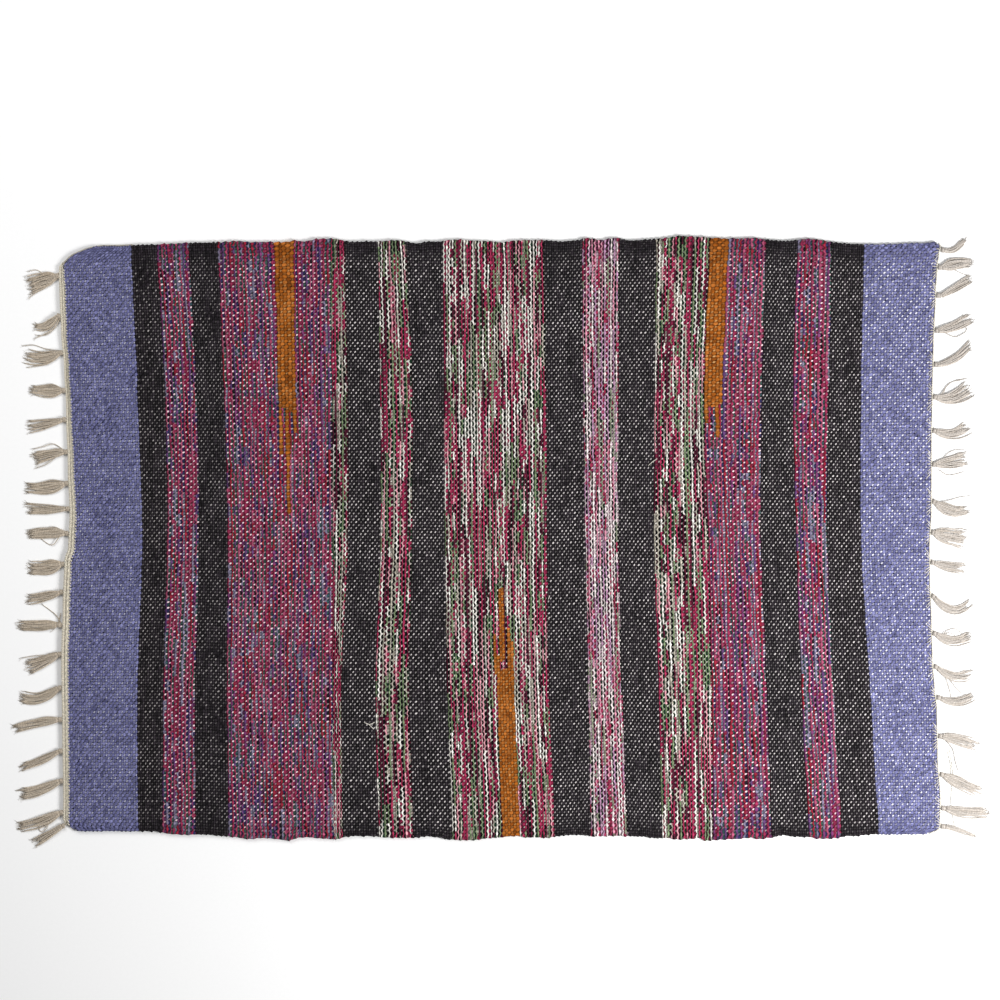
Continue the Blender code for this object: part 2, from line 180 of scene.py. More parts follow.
# Tassels, top to bottom. Columns: y of the root, x and y of the tips, sideways bow of the middle,
# width at the belly, width at the tips, length of the knot
Tassel = namedtuple("Tassel", "root_y tip_x tip_y bow belly tips knot")
LEFT_TASSELS = (
    (264.5, -477.5, 255.6, 0, 17, 18, 5),
    (224.2, -470.9, 213.8, -4.5, 10, 9, 5),
    (187.1, -480, 184, -3.3, 14, 15, 5),
    (149.3, -475, 149.7, -0.8, 15, 10, 4.5),
    (119.7, -478, 112.4, -0.7, 9, 13, 5),
    (87.2, -471.4, 80.2, 1, 11, 18, 5),
    (55.5, -480, 50.9, -2.2, 15, 12, 5),
    (29.9, -480.5, 30.3, -0.7, 9, 11, 5.5),
    (5.2, -477, 4.5, 1.2, 13, 9, 5.5),
    (-25.7, -477, -30.8, -1.5, 17, 14, 4.5),
    (-54, -479, -62, -1, 10, 11, 5),
    (-87, -487.6, -87.7, 0, 12, 12, 8),
    (-116.7, -479, -130.6, -1, 12, 18, 5),
    (-150.7, -486, -159.8, -5.7, 12, 14, 5),
    (-182.5, -493.1, -192.1, 1.4, 11, 10, 5.5),
    (-214.3, -486, -231.4, -1.5, 9, 9, 5.5),
    (-244.4, -486.6, -257.6, -2.2, 11, 14, 5),
    (-276.3, -487.6, -290.9, -2.2, 13, 9, 5),
    (-289.7, -471.4, -307.6, 0, 8, 8, 3.5),
)
RIGHT_TASSELS = (
    (290.6, 466.9, 302.5, -4.8, 6, 5, 4),
    (273, 472.9, 277.8, 1.7, 14, 10, 5),
    (244.6, 472.9, 262.5, 0, 8, 7, 8),
    (209.4, 471.9, 223.4, -2.2, 11, 14, 4),
    (175, 474, 196.6, -4.3, 9, 11, 4),
    (142.3, 470.9, 151.8, -4.7, 13, 20, 4.5),
    (108.4, 469.4, 112.4, -4.8, 11, 15, 4),
    (74.5, 467.9, 80.2, 0, 13, 16, 4),
    (37, 468.9, 28.7, -4.5, 14, 10, 4),
    (5.9, 466.9, -0.5, -1, 17, 22, 3.5),
    (-24.3, 466.9, -30.3, -1, 10, 12, 4),
    (-58.3, 471.9, -64, -10.5, 10, 10, 4),
    (-95.8, 472.9, -96.3, -6.8, 11, 13, 4.5),
    (-129.4, 474, -135.6, -6.6, 10, 11, 4.5),
    (-160.5, 474.5, -158.8, -5, 9, 12, 5),
    (-199.5, 479, -209.2, 1.5, 13, 13, 4.5),
    (-238.1, 483, -256.6, 0, 14, 10, 4.5),
    (-272, 490.1, -275.3, -2, 13, 11, 6),
    (-290.4, 477, -300, 1.5, 6, 5, 6),
)
KNOT_WIDTH = 5.4
KNOT_HEIGHT = 3.8
KNOT_SHARE = 0.6
LOCK_ROOT_WIDTH = 4.4
BELLY_PLACE = 0.36

# Single yarns that stray from their bunch: places from the knot to the tip
LOOSE_RADIUS = 0.5
LOOSE_YARNS = {
    "left_01": (
        ((-443.7, 268.7), (-457.8, 264.7), (-469.9, 270.8), (-476, 269.7)),
        ((-445.7, 263.7), (-458.8, 253.6), (-469.9, 247.6), (-476, 243.5)),
    ),
    "left_02": (
        ((-444.7, 223.4), (-451.8, 212.3), (-460.8, 206.2), (-470.4, 202.2)),
        ((-444.7, 222.4), (-452.8, 210.3), (-459.8, 205.2), (-467.9, 204.7)),
    ),
    "left_03": (
        ((-445.7, 189.1), (-459.8, 191.1), (-472.9, 195.1), (-483, 194.1)),
        ((-447.7, 184), (-457.8, 176), (-467.9, 173.9), (-478, 172.4)),
    ),
    "left_06": (
        ((-441.7, 87.2), (-450.8, 81.2), (-460.8, 74.1), (-469.4, 71.1)),
        ((-441.7, 89.2), (-451.8, 95.3), (-463.9, 92.3), (-471.9, 90.3)),
        ((-445.7, 84.2), (-456.8, 87.2), (-465.9, 81.2), (-472.9, 82.2)),
    ),
    "left_09": (
        ((-440.7, 6.6), (-450.8, 11.6), (-461.8, 9.6), (-472.9, 6.6)),
        ((-445.7, 2.5), (-453.8, -6.6), (-461.8, -2.5), (-467.9, 3.5)),
    ),
    "left_12": (
        ((-443.7, -88.2), (-448.7, -78.2), (-455.8, -72.1), (-462.9, -67.1)),
        ((-444.7, -75.1), (-446.7, -82.2), (-448.7, -88.2), (-452.8, -92.3)),
    ),
    "left_13": (
        ((-446.7, -116.5), (-459.8, -117.5), (-471.9, -118.5), (-484, -120.5)),
    ),
    "left_18": (
        ((-447.7, -278.8), (-455.8, -283.9), (-459.8, -292.9), (-464.9, -296), (-466.9, -290.9)),
    ),
    "right_02": (
        ((445.7, 273.8), (455.8, 270.8), (464.9, 266.7), (471.9, 264.7)),
    ),
    "right_04": (
        ((442.7, 209.2), (457.8, 203.2), (468.9, 211.3), (461.8, 217.3), (451.8, 210.3)),
    ),
    "right_06": (
        ((442.7, 139.7), (449.7, 154.8), (458.8, 159.8), (466.9, 160.8)),
        ((441.7, 143.7), (451.8, 156.8), (463.9, 159.8)),
        ((445.7, 140.7), (457.8, 137.6), (466.9, 140.7), (472.9, 143.7)),
    ),
    "right_08": (
        ((442.7, 73.1), (447.7, 84.2), (456.8, 89.2), (465.9, 89.2)),
        ((440.7, 69.1), (449.2, 64), (457.8, 65), (464.9, 67.1)),
    ),
    "right_09": (
        ((442.7, 36.8), (451.8, 38.8), (461.8, 41.8), (470.5, 42.9)),
    ),
    "right_10": (
        ((441.7, 4.5), (449.7, 10.6), (458.8, 7.6), (466.9, 8.6)),
        ((442.7, 3.5), (451.8, -5.5), (459.8, -9.6), (465.9, -11.1)),
        ((443.7, 5.5), (451.8, 0.5), (457.8, 6.6), (464.9, -2.5)),
    ),
    "right_13": (
        ((442.7, -98.3), (449.7, -92.3), (457.8, -91.3), (463.9, -96.3)),
        ((442.7, -99.3), (450.8, -95.3), (456.8, -98.3), (451.8, -102.4)),
    ),
    "right_14": (
        ((445.7, -134.6), (449.7, -146.7), (451.8, -154.8), (452.8, -159.8)),
        ((446.7, -135.6), (454.8, -146.7), (459.8, -152.8), (462.9, -155.8)),
    ),
    "right_16": (
        ((446.7, -202.2), (454.8, -213.3), (456.8, -223.4), (459.8, -233.4)),
    ),
}

# Loose thread ends on the face and beyond the right end: colour, places along the thread
THREAD_RADIUS = 0.4
LOOSE_THREADS = (
    ("cream", ((147.2, 73.1), (151.3, 77.1), (156.3, 80.2))),
    ("cream", ((-139.2, -185), (-133.1, -187.1), (-128.1, -185))),
    ("cream", ((-134.1, -187.1), (-131.1, -190.1), (-129.1, -192.1))),
    ("cream", ((48.1, -57.2), (47.3, -59.2), (46.5, -61.3))),
    ("cream", ((46.6, -80.9), (47.4, -79.6), (48.5, -79.2))),
    ("blue", ((417.5, 265.7), (422.5, 258.7), (429.6, 255.6), (435.6, 253.6))),
    ("cream", ((448.7, -213.3), (451.8, -225.4), (452.8, -237.5))),
    ("cream", ((450.8, -210.3), (454.8, -238.5), (452.8, -263.7), (456.8, -293.9))),
)

# Warp ends that cross from the cloth to the headings: length over the cloth, radius
LEFT_END_LENGTH = 1.0
LEFT_END_RADIUS = 0.62
RIGHT_END_LENGTH = 4.2
RIGHT_END_RADIUS = 0.33
RIGHT_END_REACH = 12.5
RIGHT_END_LEAN = 0.30
# Where the thin cord along the top of the left corner ends
CORNER_CORD_END = -372.0

# The camera looks straight down
CAMERA_AIM = (-2.0, 38.8)
CAMERA_HEIGHT = 3000.0
FRAME_WIDTH = 1008.4
SENSOR_WIDTH = 36.0

# The floor, in metres: half its side, and how far it lies under the frame's. Then its paper.
FLOOR_HALF = 4.0
FLOOR_DROP = 0.0002
PAPER_TONES = ((246, 246, 246), (249, 249, 249))
PAPER_GRAIN = 300.0
PAPER_ROUGHNESS = 0.9
# Round lights that aim at the origin: name, place and width in metres, power in watts
LIGHTS = (("key", (1.15, -0.45, 1.0), 0.7, 33.0), ("fill", (-0.9, 1.1, 1.3), 1.2, 17.0))
WORLD_STRENGTH = 0.22

# Cotton, and the loose end of weft: colour, and tone of the painted shade in the furrows between the
# plies
CORD_LOOKS = {
    "warp_cotton_cord": ((232, 225, 208), 0.68),
    "warp_cotton_pale": ((230, 225, 214), 0.75),
    "warp_cotton_left": ((194, 182, 166), 0.74),
    "warp_cotton_right": ((190, 183, 176), 0.76),
    "weft_blue_loose": ((120, 121, 160), 0.7),
}


def linear(red, green, blue):
    """A colour as the eye names it, from 0 to 255, in the linear values that a shader takes."""
    values = [channel / 255 for channel in (red, green, blue)]
    light = [v / 12.92 if v <= 0.04045 else ((v + 0.055) / 1.055) ** 2.4 for v in values]
    return (*light, 1.0)


def eased(share):
    """A share from 0 to 1 that starts and ends slowly."""
    return share * share * (3.0 - 2.0 * share)


def unit(vectors):
    """The vectors, each made 1 long."""
    return vectors / np.maximum(np.linalg.norm(vectors, axis=-1, keepdims=True), 1e-9)


def lengths_along(path):
    """Distance of each point of a path from its start."""
    step = np.linalg.norm(np.diff(path, axis=0), axis=1)
    return np.concatenate([[0.0], np.cumsum(step)])


def read_table(table, places):
    """Values at places along a table of (place, value) rows, eased between the rows."""
    rows = np.array(table)
    places = np.asarray(places, float)
    before = np.clip(np.searchsorted(rows[:, 0], places) - 1, 0, len(rows) - 2)
    low, high = rows[before], rows[before + 1]
    share = np.clip((places - low[..., 0]) / (high[..., 0] - low[..., 0]), 0.0, 1.0)
    return low[..., 1] + (high[..., 1] - low[..., 1]) * eased(share)


def smooth_curve(places, values, at):
    """A smooth curve through values at rising places, read at other places."""
    places, values = np.array(places), np.array(values)
    slopes = np.gradient(values, places)
    before = np.clip(np.searchsorted(places, at) - 1, 0, len(places) - 2)
    run = places[before + 1] - places[before]
    t = np.clip((at - places[before]) / run, 0.0, 1.0)
    return (
        (2 * t**3 - 3 * t**2 + 1) * values[before]
        + (t**3 - 2 * t**2 + t) * run * slopes[before]
        + (3 * t**2 - 2 * t**3) * values[before + 1]
        + (t**3 - t**2) * run * slopes[before + 1]
    )


def corner_inset(corner, distance):
    """How far a corner's curve draws the end in, at distances from the selvage."""
    run, drop, exponent = CORNERS[corner]
    across = np.clip(1.0 - distance / drop, 0.0, 1.0)
    return run * (1.0 - (1.0 - across**exponent) ** (1.0 / exponent))


def row_ends(place):
    """x of the two ends of the rows at distances from the bottom selvage."""
    y = place - CLOTH_WIDTH / 2
    left = -CLOTH_LENGTH / 2 - read_table(LEFT_EDGE, y)
    right = CLOTH_LENGTH / 2 + read_table(RIGHT_EDGE, y)
    from_top = CLOTH_WIDTH - place
    left += corner_inset(("bottom", "left"), place) + corner_inset(("top", "left"), from_top)
    right -= corner_inset(("bottom", "right"), place) + corner_inset(("top", "right"), from_top)
    return left, right


def row_height(x, place):
    """y of rows at x, between the bowed selvages."""
    bottom = -CLOTH_WIDTH / 2 - read_table(BOTTOM_EDGE, x)
    top = CLOTH_WIDTH / 2 + read_table(TOP_EDGE, x)
    y = bottom + (top - bottom) * place / CLOTH_WIDTH
    from_top = CLOTH_WIDTH - place
    for outward, waves, distance in ((-1.0, BOTTOM_WAVES, place), (1.0, TOP_WAVES, from_top)):
        near = np.clip(1.0 - distance / WAVE_DEPTH, 0.0, 1.0)
        y = y + outward * near**2 * read_table(waves, x)
    return y


def cloth_thickness(x, y):
    thickness = np.full_like(x, CLOTH_THICKNESS)
    for height, along_x, along_y in WAVES:
        thickness += height * np.sin(2.0 * np.pi * (x / along_x + y / along_y))
    return thickness


def slow_noise(chance, lines, length, count):
    """One smooth random curve for each line, from -1 to 1, of a count of steps of a length."""
    knots = int(count / length) + 3
    values = chance.uniform(-1.0, 1.0, (lines, knots))
    at = np.arange(count) / length
    low = at.astype(int)
    share = eased(at - low)
    return values[:, low] * (1.0 - share) + values[:, low + 1] * share


def pick_edges(place, chance):
    """x of the edges of every pick, one column for each, at the rows' distances from the selvage."""
    y = place - CLOTH_WIDTH / 2
    left, right = row_ends(place)
    edges = [left]
    for stripe in STRIPES[:-1]:
        edges.append(smooth_curve(STRIPE_HEIGHTS, stripe[3:], y))
    edges.append(right)
    columns = [left]
    for stripe, start, end in zip(STRIPES, edges, edges[1:]):
        widths = 1.0 + PICK_WIDTH_SPREAD * chance.uniform(-1.0, 1.0, stripe.picks)
        for share in np.cumsum(widths) / widths.sum():
            columns.append(start + (end - start) * share)
    return np.stack(columns, axis=1)


class Weave:
    """The face and the underside of the whole cloth, as grids of points in millimetres.

    The face has a point at the middle and the edge of each pick, at each warp and between warps.
    The underside has one at each crossing.
    """

    def __init__(self):
        chance = np.random.default_rng(WEAVE_SEED)
        self.v = 0.5 + np.arange(2 * WARPS - 1) / 2
        self.u = np.arange(2 * PICKS + 1) / 2
        place = self.v * WARP_PITCH
        edges = pick_edges(place, chance)
        width = np.diff(edges, axis=1)
        wander = slow_noise(chance, PICKS + 1, WANDER_LENGTH, len(place)).T
        wander[:, [0, -1]] = 0.0
        between = (width[:, 1:] + width[:, :-1]) / 2
        edge_width = np.concatenate([width[:, :1], between, width[:, -1:]], axis=1)
        edges = edges + PICK_WANDER * edge_width * wander + self.swell(edge_width)
        x = np.empty((len(self.v), len(self.u)))
        x[:, 0::2] = edges
        x[:, 1::2] = (edges[:, 1:] + edges[:, :-1]) / 2
        x[:, 1:-1] += POINT_STRAY * chance.uniform(-1.0, 1.0, x[:, 1:-1].shape)
        y = row_height(x, place[:, None])
        y += WARP_WANDER * slow_noise(chance, len(self.v), WARP_WANDER_LENGTH, len(self.u))
        y += POINT_STRAY * chance.uniform(-1.0, 1.0, y.shape)
        relief = np.empty_like(x)
        relief[:, 0::2] = RELIEF * edge_width
        relief[:, 1::2] = RELIEF * width
        share = self.heights() + HEIGHT_SPREAD * chance.uniform(-1.0, 1.0, x.shape)
        thickness = cloth_thickness(x, y)
        self.face = np.stack([x, y, thickness - relief * (1.0 - share)], axis=2)
        self.thickness = thickness
        self.relief = relief
        self.loops = chance.uniform(*SELVAGE_LOOP, (2, PICKS // 2 + 2))

    def swell(self, edge_width):
        """A pick is wider where it passes over a warp, so its edges zigzag."""
        row, pick = np.meshgrid(np.arange(len(self.v)), np.arange(PICKS + 1), indexing="ij")
        at_warp = row % 2 == 0
        left_pick_over = (pick - 1 + row // 2) % 2 == 1
        shift = np.where(left_pick_over, PICK_SWELL, -PICK_SWELL) * at_warp
        shift[:, [0, -1]] = 0.0
        return shift * edge_width

    def heights(self):
        row, column = np.meshgrid(np.arange(len(self.v)), np.arange(len(self.u)), indexing="ij")
        at_warp = row % 2 == 0
        at_pick = column % 2 == 1
        weft_over = (column // 2 + row // 2) % 2 == 1
        crossing = np.where(weft_over, WEFT_OVER_WARP, WARP_OVER_WEFT)
        on_pick = np.where(at_warp, crossing, WEFT_FLANK)
        off_pick = np.where(at_warp, WARP_BETWEEN_PICKS, GAP_BETWEEN_PICKS)
        depth = np.repeat([SHALLOW_VALLEYS.get(stripe.name, 1.0) for stripe in STRIPES],
                          [2 * stripe.picks for stripe in STRIPES])
        off_pick = 1.0 - (1.0 - off_pick) * np.append(depth, depth[-1])
        return np.where(at_pick, on_pick, off_pick)

    def rim(self, end, low_column, high_column):
        """The rows that turn round a selvage, from the face to the foot on the underside."""
        index = -1 if end > 0 else 0
        base = self.face[index, low_column:high_column + 1]
        thickness = self.thickness[index, low_column:high_column + 1, None]
        u = self.u[low_column:high_column + 1]
        from_loop = u - (1.0 if end > 0 else 0.0)
        loop = self.loops[(end + 1) // 2, np.rint(from_loop / 2).astype(int)]
        reach = WARP_PITCH / 2 + loop * (0.5 + 0.5 * np.cos(np.pi * from_loop)) - SELVAGE_LOOP_IN
        rows = []
        for out, up in (*SELVAGE_ROWS, SELVAGE_FOOT):
            row = base.copy()
            row[:, 1] += end * reach * out
            row[:, 2] = thickness[:, 0] * up
            rows.append(row)
        return rows


def grid_quads(index):
    """Four corners of each cell of a grid of point numbers, counter-clockwise seen from above."""
    corners = [index[:-1, :-1], index[:-1, 1:], index[1:, 1:], index[1:, :-1]]
    return np.stack(corners, axis=-1).reshape(-1, 4)


def grid_corners(rows, columns):
    """Row and column of the corners of each cell of a grid, in the order of grid_quads."""
    row, column = np.meshgrid(np.arange(rows - 1), np.arange(columns - 1), indexing="ij")
    row, column = row.reshape(-1, 1), column.reshape(-1, 1)
    return row + np.array([0, 0, 1, 1]), column + np.array([0, 1, 1, 0])


class MeshParts:
    """Faces of any number of corners, with two maps, gathered for one mesh."""

    def __init__(self):
        self.points, self.uvs = [], []
        self.corners, self.sizes, self.bakes = [], [], []
        self.count = 0

    def add_points(self, points, uvs):
        """Adds a grid or a row of points and returns their numbers in the same layout."""
        shape = points.shape[:-1]
        number = self.count + np.arange(int(np.prod(shape))).reshape(shape)
        self.points.append(points.reshape(-1, 3))
        self.uvs.append(uvs.reshape(-1, 2))
        self.count += number.size
        return number

    def add_faces(self, corners, bakes):
        corners = np.asarray(corners)
        self.corners.append(corners.reshape(-1))
        self.sizes.append(np.full(len(corners), corners.shape[1]))
        self.bakes.append(np.asarray(bakes, float).reshape(-1, 2))

    def build(self, name, material, map_name):
        points = np.concatenate(self.points) * MM
        corners = np.concatenate(self.corners)
        sizes = np.concatenate(self.sizes)
        mesh = bpy.data.meshes.new(name)
        mesh.vertices.add(len(points))
        mesh.vertices.foreach_set("co", points.astype(np.float32).ravel())
        mesh.loops.add(len(corners))
        mesh.loops.foreach_set("vertex_index", corners.astype(np.int32))
        mesh.polygons.add(len(sizes))
        mesh.polygons.foreach_set("loop_start", (np.cumsum(sizes) - sizes).astype(np.int32))
        mesh.polygons.foreach_set("use_smooth", np.ones(len(sizes), bool))
        uvs = np.concatenate(self.uvs)[corners]
        mesh.uv_layers.new(name=map_name).uv.foreach_set("vector", uvs.astype(np.float32).ravel())
        bakes = np.concatenate(self.bakes)
        mesh.uv_layers.new(name="OFBake").uv.foreach_set("vector", bakes.astype(np.float32).ravel())
        mesh.update(calc_edges=True)
        mesh.materials.append(material)
        piece = bpy.data.objects.new(name, mesh)
        bpy.context.scene.collection.objects.link(piece)
        return piece


class BakeLayout:
    """A long strip's own map: the strip is cut into lengths that lie side by side in the square."""

    # Shares of one length's width: the face, the underside and the four narrow walls
    BANDS = {
        "face": (0.01, 0.60), "underside": (0.62, 0.86), "left": (0.88, 0.895), "right": (0.91, 0.925),
        "bottom": (0.94, 0.955), "top": (0.97, 0.985),
    }
    MARGIN = 0.004
    # Width of all bands together, in widths of the face
    ALL_BANDS = 1.7

    def __init__(self, width, length):
        self.lengths = max(1, round(math.sqrt(length / (width * self.ALL_BANDS))))

    def place(self, band, across, along, cell, cells):
        """Map places: across and along are shares, and cell is the face's number along the strip."""
        low, high = self.BANDS[band]
        number = np.asarray(cell) * self.lengths // cells
        u = (number + low + (high - low) * np.asarray(across)) / self.lengths
        v = np.asarray(along) * self.lengths - number
        return np.stack(np.broadcast_arrays(u, self.MARGIN + (1.0 - 2.0 * self.MARGIN) * v), axis=-1)


def add_wall(parts, layout, band, upper, lower, spans, outward):
    """Closes the side between an upper and a lower row, where each step of the lower row spans
    some steps of the upper one."""
    start = 0
    for step, span in enumerate(spans):
        top = list(upper[start:start + span + 1])
        corners = [lower[step], lower[step + 1], *reversed(top)]
        across = [0.0, 0.0] + [1.0] * len(top)
        along = [step, step + 1] + [step + 1 - number / span for number in range(span + 1)]
        if not outward:
            corners, across, along = corners[::-1], across[::-1], along[::-1]
        along = np.array(along) / len(spans)
        parts.add_faces([corners], layout.place(band, across, along, step, len(spans)))
        start += span


def add_grid(parts, layout, band, points, u, v):
    """Adds a grid of points and the faces between them, and returns the points' numbers."""
    numbers = parts.add_points(points, np.stack(np.meshgrid(u, v), axis=-1))
    row, column = grid_corners(*numbers.shape)
    cells = len(v) - 1
    bake = layout.place(band, column / (len(u) - 1), row / cells, row[:, :1], cells)
    order = -1 if band == "underside" else 1
    parts.add_faces(grid_quads(numbers)[:, ::order], bake[:, ::order])
    return numbers


def underside_points(weave, stripe, first_pick, columns, feet):
    """Points of a stripe's underside, at some of the face's columns and between its two feet."""
    middle = weave.face[0::2, columns].copy()
    warps, picks = np.arange(WARPS), first_pick + np.arange(-1, stripe.picks + 1)
    warp, pick = np.meshgrid(warps, picks, indexing="ij")
    share = np.where((pick + warp) % 2 == 0, 0.0, UNDERSIDE_HOLLOW)
    share[:, [0, -1]] = UNDERSIDE_SEAM
    middle[:, :, 2] = weave.relief[0::2, columns] * share
    return np.concatenate([feet[0][None], middle, feet[1][None]])


def add_stripe(weave, stripe, first_pick, material):
    """One stripe of the cloth as a closed slab with a woven face and underside."""
    low, high = 2 * first_pick, 2 * (first_pick + stripe.picks)
    layout = BakeLayout((weave.face[:, high, 0] - weave.face[:, low, 0]).mean(), CLOTH_WIDTH)
    parts = MeshParts()
    south = weave.rim(-1, low, high)
    north = weave.rim(1, low, high)
    face = np.concatenate([np.stack(south[2::-1]), weave.face[:, low:high + 1], np.stack(north[:3])])
    v = np.concatenate([RIM_COUNTS, weave.v, WARPS - np.array(RIM_COUNTS)[::-1]])
    u = weave.u[low:high + 1]
    upper = add_grid(parts, layout, "face", face, u, v)
    columns = np.array([0, *range(1, len(u), 2), len(u) - 1])
    feet = [south[3][columns], north[3][columns]]
    under = underside_points(weave, stripe, first_pick, low + columns, feet)
    # One warp on, so that the weft is on top where it is not on the face
    under_v = np.concatenate([[FOOT_COUNT], np.arange(WARPS) + 0.5, [WARPS - FOOT_COUNT]]) + 1.0
    lower = add_grid(parts, layout, "underside", under, u[columns], under_v)
    # Steps of the face beside each step of the underside
    along_spans = [3] + [2] * (WARPS - 1) + [3]
    across_spans = [1] + [2] * (stripe.picks - 1) + [1]
    add_wall(parts, layout, "left", upper[:, 0], lower[:, 0], along_spans, False)
    add_wall(parts, layout, "right", upper[:, -1], lower[:, -1], along_spans, True)
    add_wall(parts, layout, "bottom", upper[0], lower[0], across_spans, True)
    add_wall(parts, layout, "top", upper[-1], lower[-1], across_spans, False)
    return parts.build(f"stripe_{stripe.name}", material, "Weave")


class Value:
    """A number or a colour all over a surface. Sums and methods add nodes to its recipe."""

    def __init__(self, recipe, socket):
        self.recipe, self.socket = recipe, socket

    def math(self, operation, *others):
        return self.recipe.math(operation, self, *others)

    def __add__(self, other):
        return self.math("ADD", other)

    def __sub__(self, other):
        return self.math("SUBTRACT", other)

    def __rsub__(self, other):
        return self.recipe.math("SUBTRACT", other, self)

    def __mul__(self, other):
        return self.math("MULTIPLY", other)

    def __truediv__(self, other):
        return self.math("DIVIDE", other)

    def __pow__(self, exponent):
        return self.math("POWER", exponent)

    def __abs__(self):
        return self.math("ABSOLUTE")

    def __gt__(self, other):
        return self.math("GREATER_THAN", other)

    def __lt__(self, other):
        return self.math("LESS_THAN", other)

    def floor(self):
        return self.math("FLOOR")

    def sine(self):
        return self.math("SINE")

    def line(self, slope, start):
        """The value times a slope, plus a start."""
        return self.math("MULTIPLY_ADD", slope, start)

    def ease(self, low, high, to_low=0.0, to_high=1.0):
        """Eases from to_low to to_high as the value goes from low to high."""
        inputs = dict(enumerate((self, low, high, to_low, to_high)))
        return self.recipe.add("ShaderNodeMapRange", inputs, interpolation_type="SMOOTHSTEP")


class Recipe:
    """A material in the making: each method adds nodes and returns a value."""

    def __init__(self, name):
        self.material = bpy.data.materials.new(name)
        self.material.use_nodes = True
        self.tree = self.material.node_tree
        self.shader = self.tree.nodes["Principled BSDF"]

    def feed(self, socket, value):
        if isinstance(value, Value):
            self.tree.links.new(value.socket, socket)
        else:
            socket.default_value = value

    def add(self, kind, inputs=None, output=0, **settings):
        """Adds a node with its settings and inputs, and returns one of its outputs."""
        node = self.tree.nodes.new(kind)
        for name, setting in settings.items():
            setattr(node, name, setting)
        for key, value in (inputs or {}).items():
            self.feed(node.inputs[key], value)
        return Value(self, node.outputs[output])

    def map_axes(self, name):
        """The two axes of a named map."""
        place = self.add("ShaderNodeUVMap", uv_map=name)
        axes = self.add("ShaderNodeSeparateXYZ", {0: place}).socket.node.outputs
        return Value(self, axes[0]), Value(self, axes[1])

    def math(self, operation, *values):
        return self.add("ShaderNodeMath", dict(enumerate(values)), operation=operation)

    def vector(self, x, y, z=0.0):
        return self.add("ShaderNodeCombineXYZ", {0: x, 1: y, 2: z})

    def chance(self, x, y, z=0.0):
        """An even random number from 0 to 1 for each place."""
        place = {"Vector": self.vector(x, y, z)}
        return self.add("ShaderNodeTexWhiteNoise", place, "Value", noise_dimensions="3D")

    def noise(self, x, y, scale, detail=1.0):
        inputs = {"Vector": self.vector(x, y), "Scale": scale, "Detail": detail}
        return self.add("ShaderNodeTexNoise", inputs, noise_dimensions="2D")

    def palette(self, value, colours):
        """Steps through rows of (share, red, green, blue) as value goes from 0 to 1."""
        colour = self.add("ShaderNodeValToRGB", {0: value})
        ramp = colour.socket.node.color_ramp
        ramp.interpolation = "CONSTANT"
        while len(ramp.elements) < len(colours):
            ramp.elements.new(1.0)
        total = sum(row[0] for row in colours)
        place = 0.0
        for element, (share, *tone) in zip(ramp.elements, colours):
            element.position = place
            element.color = linear(*tone)
            place += share / total
        return colour

    def blend(self, share, first, second):
        return self.add("ShaderNodeMix", {0: share, 6: first, 7: second}, 2, data_type="RGBA")

    def scaled(self, colour, factor):
        return self.add("ShaderNodeVectorMath", {0: colour, "Scale": factor}, operation="SCALE")

    def bump(self, height, strength, distance):
        inputs = {"Strength": strength, "Distance": distance, "Height": height}
        self.feed(self.shader.inputs["Normal"], self.add("ShaderNodeBump", inputs))

    def finish(self, colour, roughness, sheen):
        inputs = self.shader.inputs
        self.feed(inputs["Base Color"], colour)
        self.feed(inputs["Roughness"], roughness)
        inputs["Sheen Weight"].default_value = sheen
        inputs["Sheen Roughness"].default_value = SHEEN_ROUGHNESS
        inputs["Specular IOR Level"].default_value = SPECULAR_LEVEL
        return self.material


SHEEN_ROUGHNESS = 0.6
SPECULAR_LEVEL = 0.04

# Yarns of the weft. Colour rows are (share, red, green, blue). Split is the share of a pick's width
# that its first strand takes, sway how far the strands swing, run the usual length of one colour in
# warps, warp the colour of the warp that shows, dots how strongly it shows, uneven how unevenly, grid
# how dark the painted shade is in the lines between the picks, at the strands' sides and at the ends of
# the weft on top, and how deep the strands' sides lie in the fine bump, gap how dark the painted shade
# is in the openings and where the weft dips, and steady how much of the painted shade along a warp the
# first strand of two is spared.
Yarn = namedtuple("Yarn", "first second split sway run warp dots uneven grid gap steady")

CRIMSONS = (
    (0.30, 138, 42, 74), (0.16, 156, 74, 102), (0.12, 112, 54, 100), (0.10, 92, 60, 106),
    (0.12, 138, 34, 52), (0.08, 122, 114, 138), (0.12, 147, 58, 86),
)
DARK_MATES = (
    (0.18, 52, 76, 70), (0.14, 42, 44, 81), (0.20, 127, 42, 70), (0.14, 46, 74, 78),
    (0.14, 109, 110, 130), (0.12, 77, 42, 74), (0.08, 26, 24, 32),
)
MIXED_LIGHTS = (
    (0.20, 230, 226, 218), (0.13, 176, 170, 156), (0.19, 118, 136, 102), (0.23, 164, 50, 84),
    (0.12, 212, 150, 160), (0.13, 84, 28, 48),
)
MIXED_DARKS = (
    (0.31, 8, 8, 10), (0.20, 20, 46, 32), (0.24, 136, 36, 68), (0.17, 58, 14, 32),
    (0.08, 146, 138, 128),
)
LILAC_LIGHTS = (
    (0.32, 222, 208, 208), (0.26, 178, 136, 166), (0.18, 200, 134, 154), (0.12, 134, 138, 118),
    (0.12, 152, 50, 78),
)
LILAC_DARKS = (
    (0.22, 16, 14, 18), (0.14, 28, 44, 38), (0.28, 142, 42, 74), (0.14, 80, 28, 54),
    (0.22, 154, 130, 142),
)
BLUES = ((0.4, 103, 104, 144), (0.3, 91, 92, 132), (0.3, 115, 116, 156))
BLACKS = ((0.5, 35, 31, 35), (0.3, 43, 38, 43), (0.2, 27, 24, 27))
ORANGES = ((0.4, 152, 84, 25), (0.3, 134, 71, 19), (0.3, 165, 96, 38))
CREAM = (228, 222, 214)
ORANGE_WARP = (206, 160, 104)

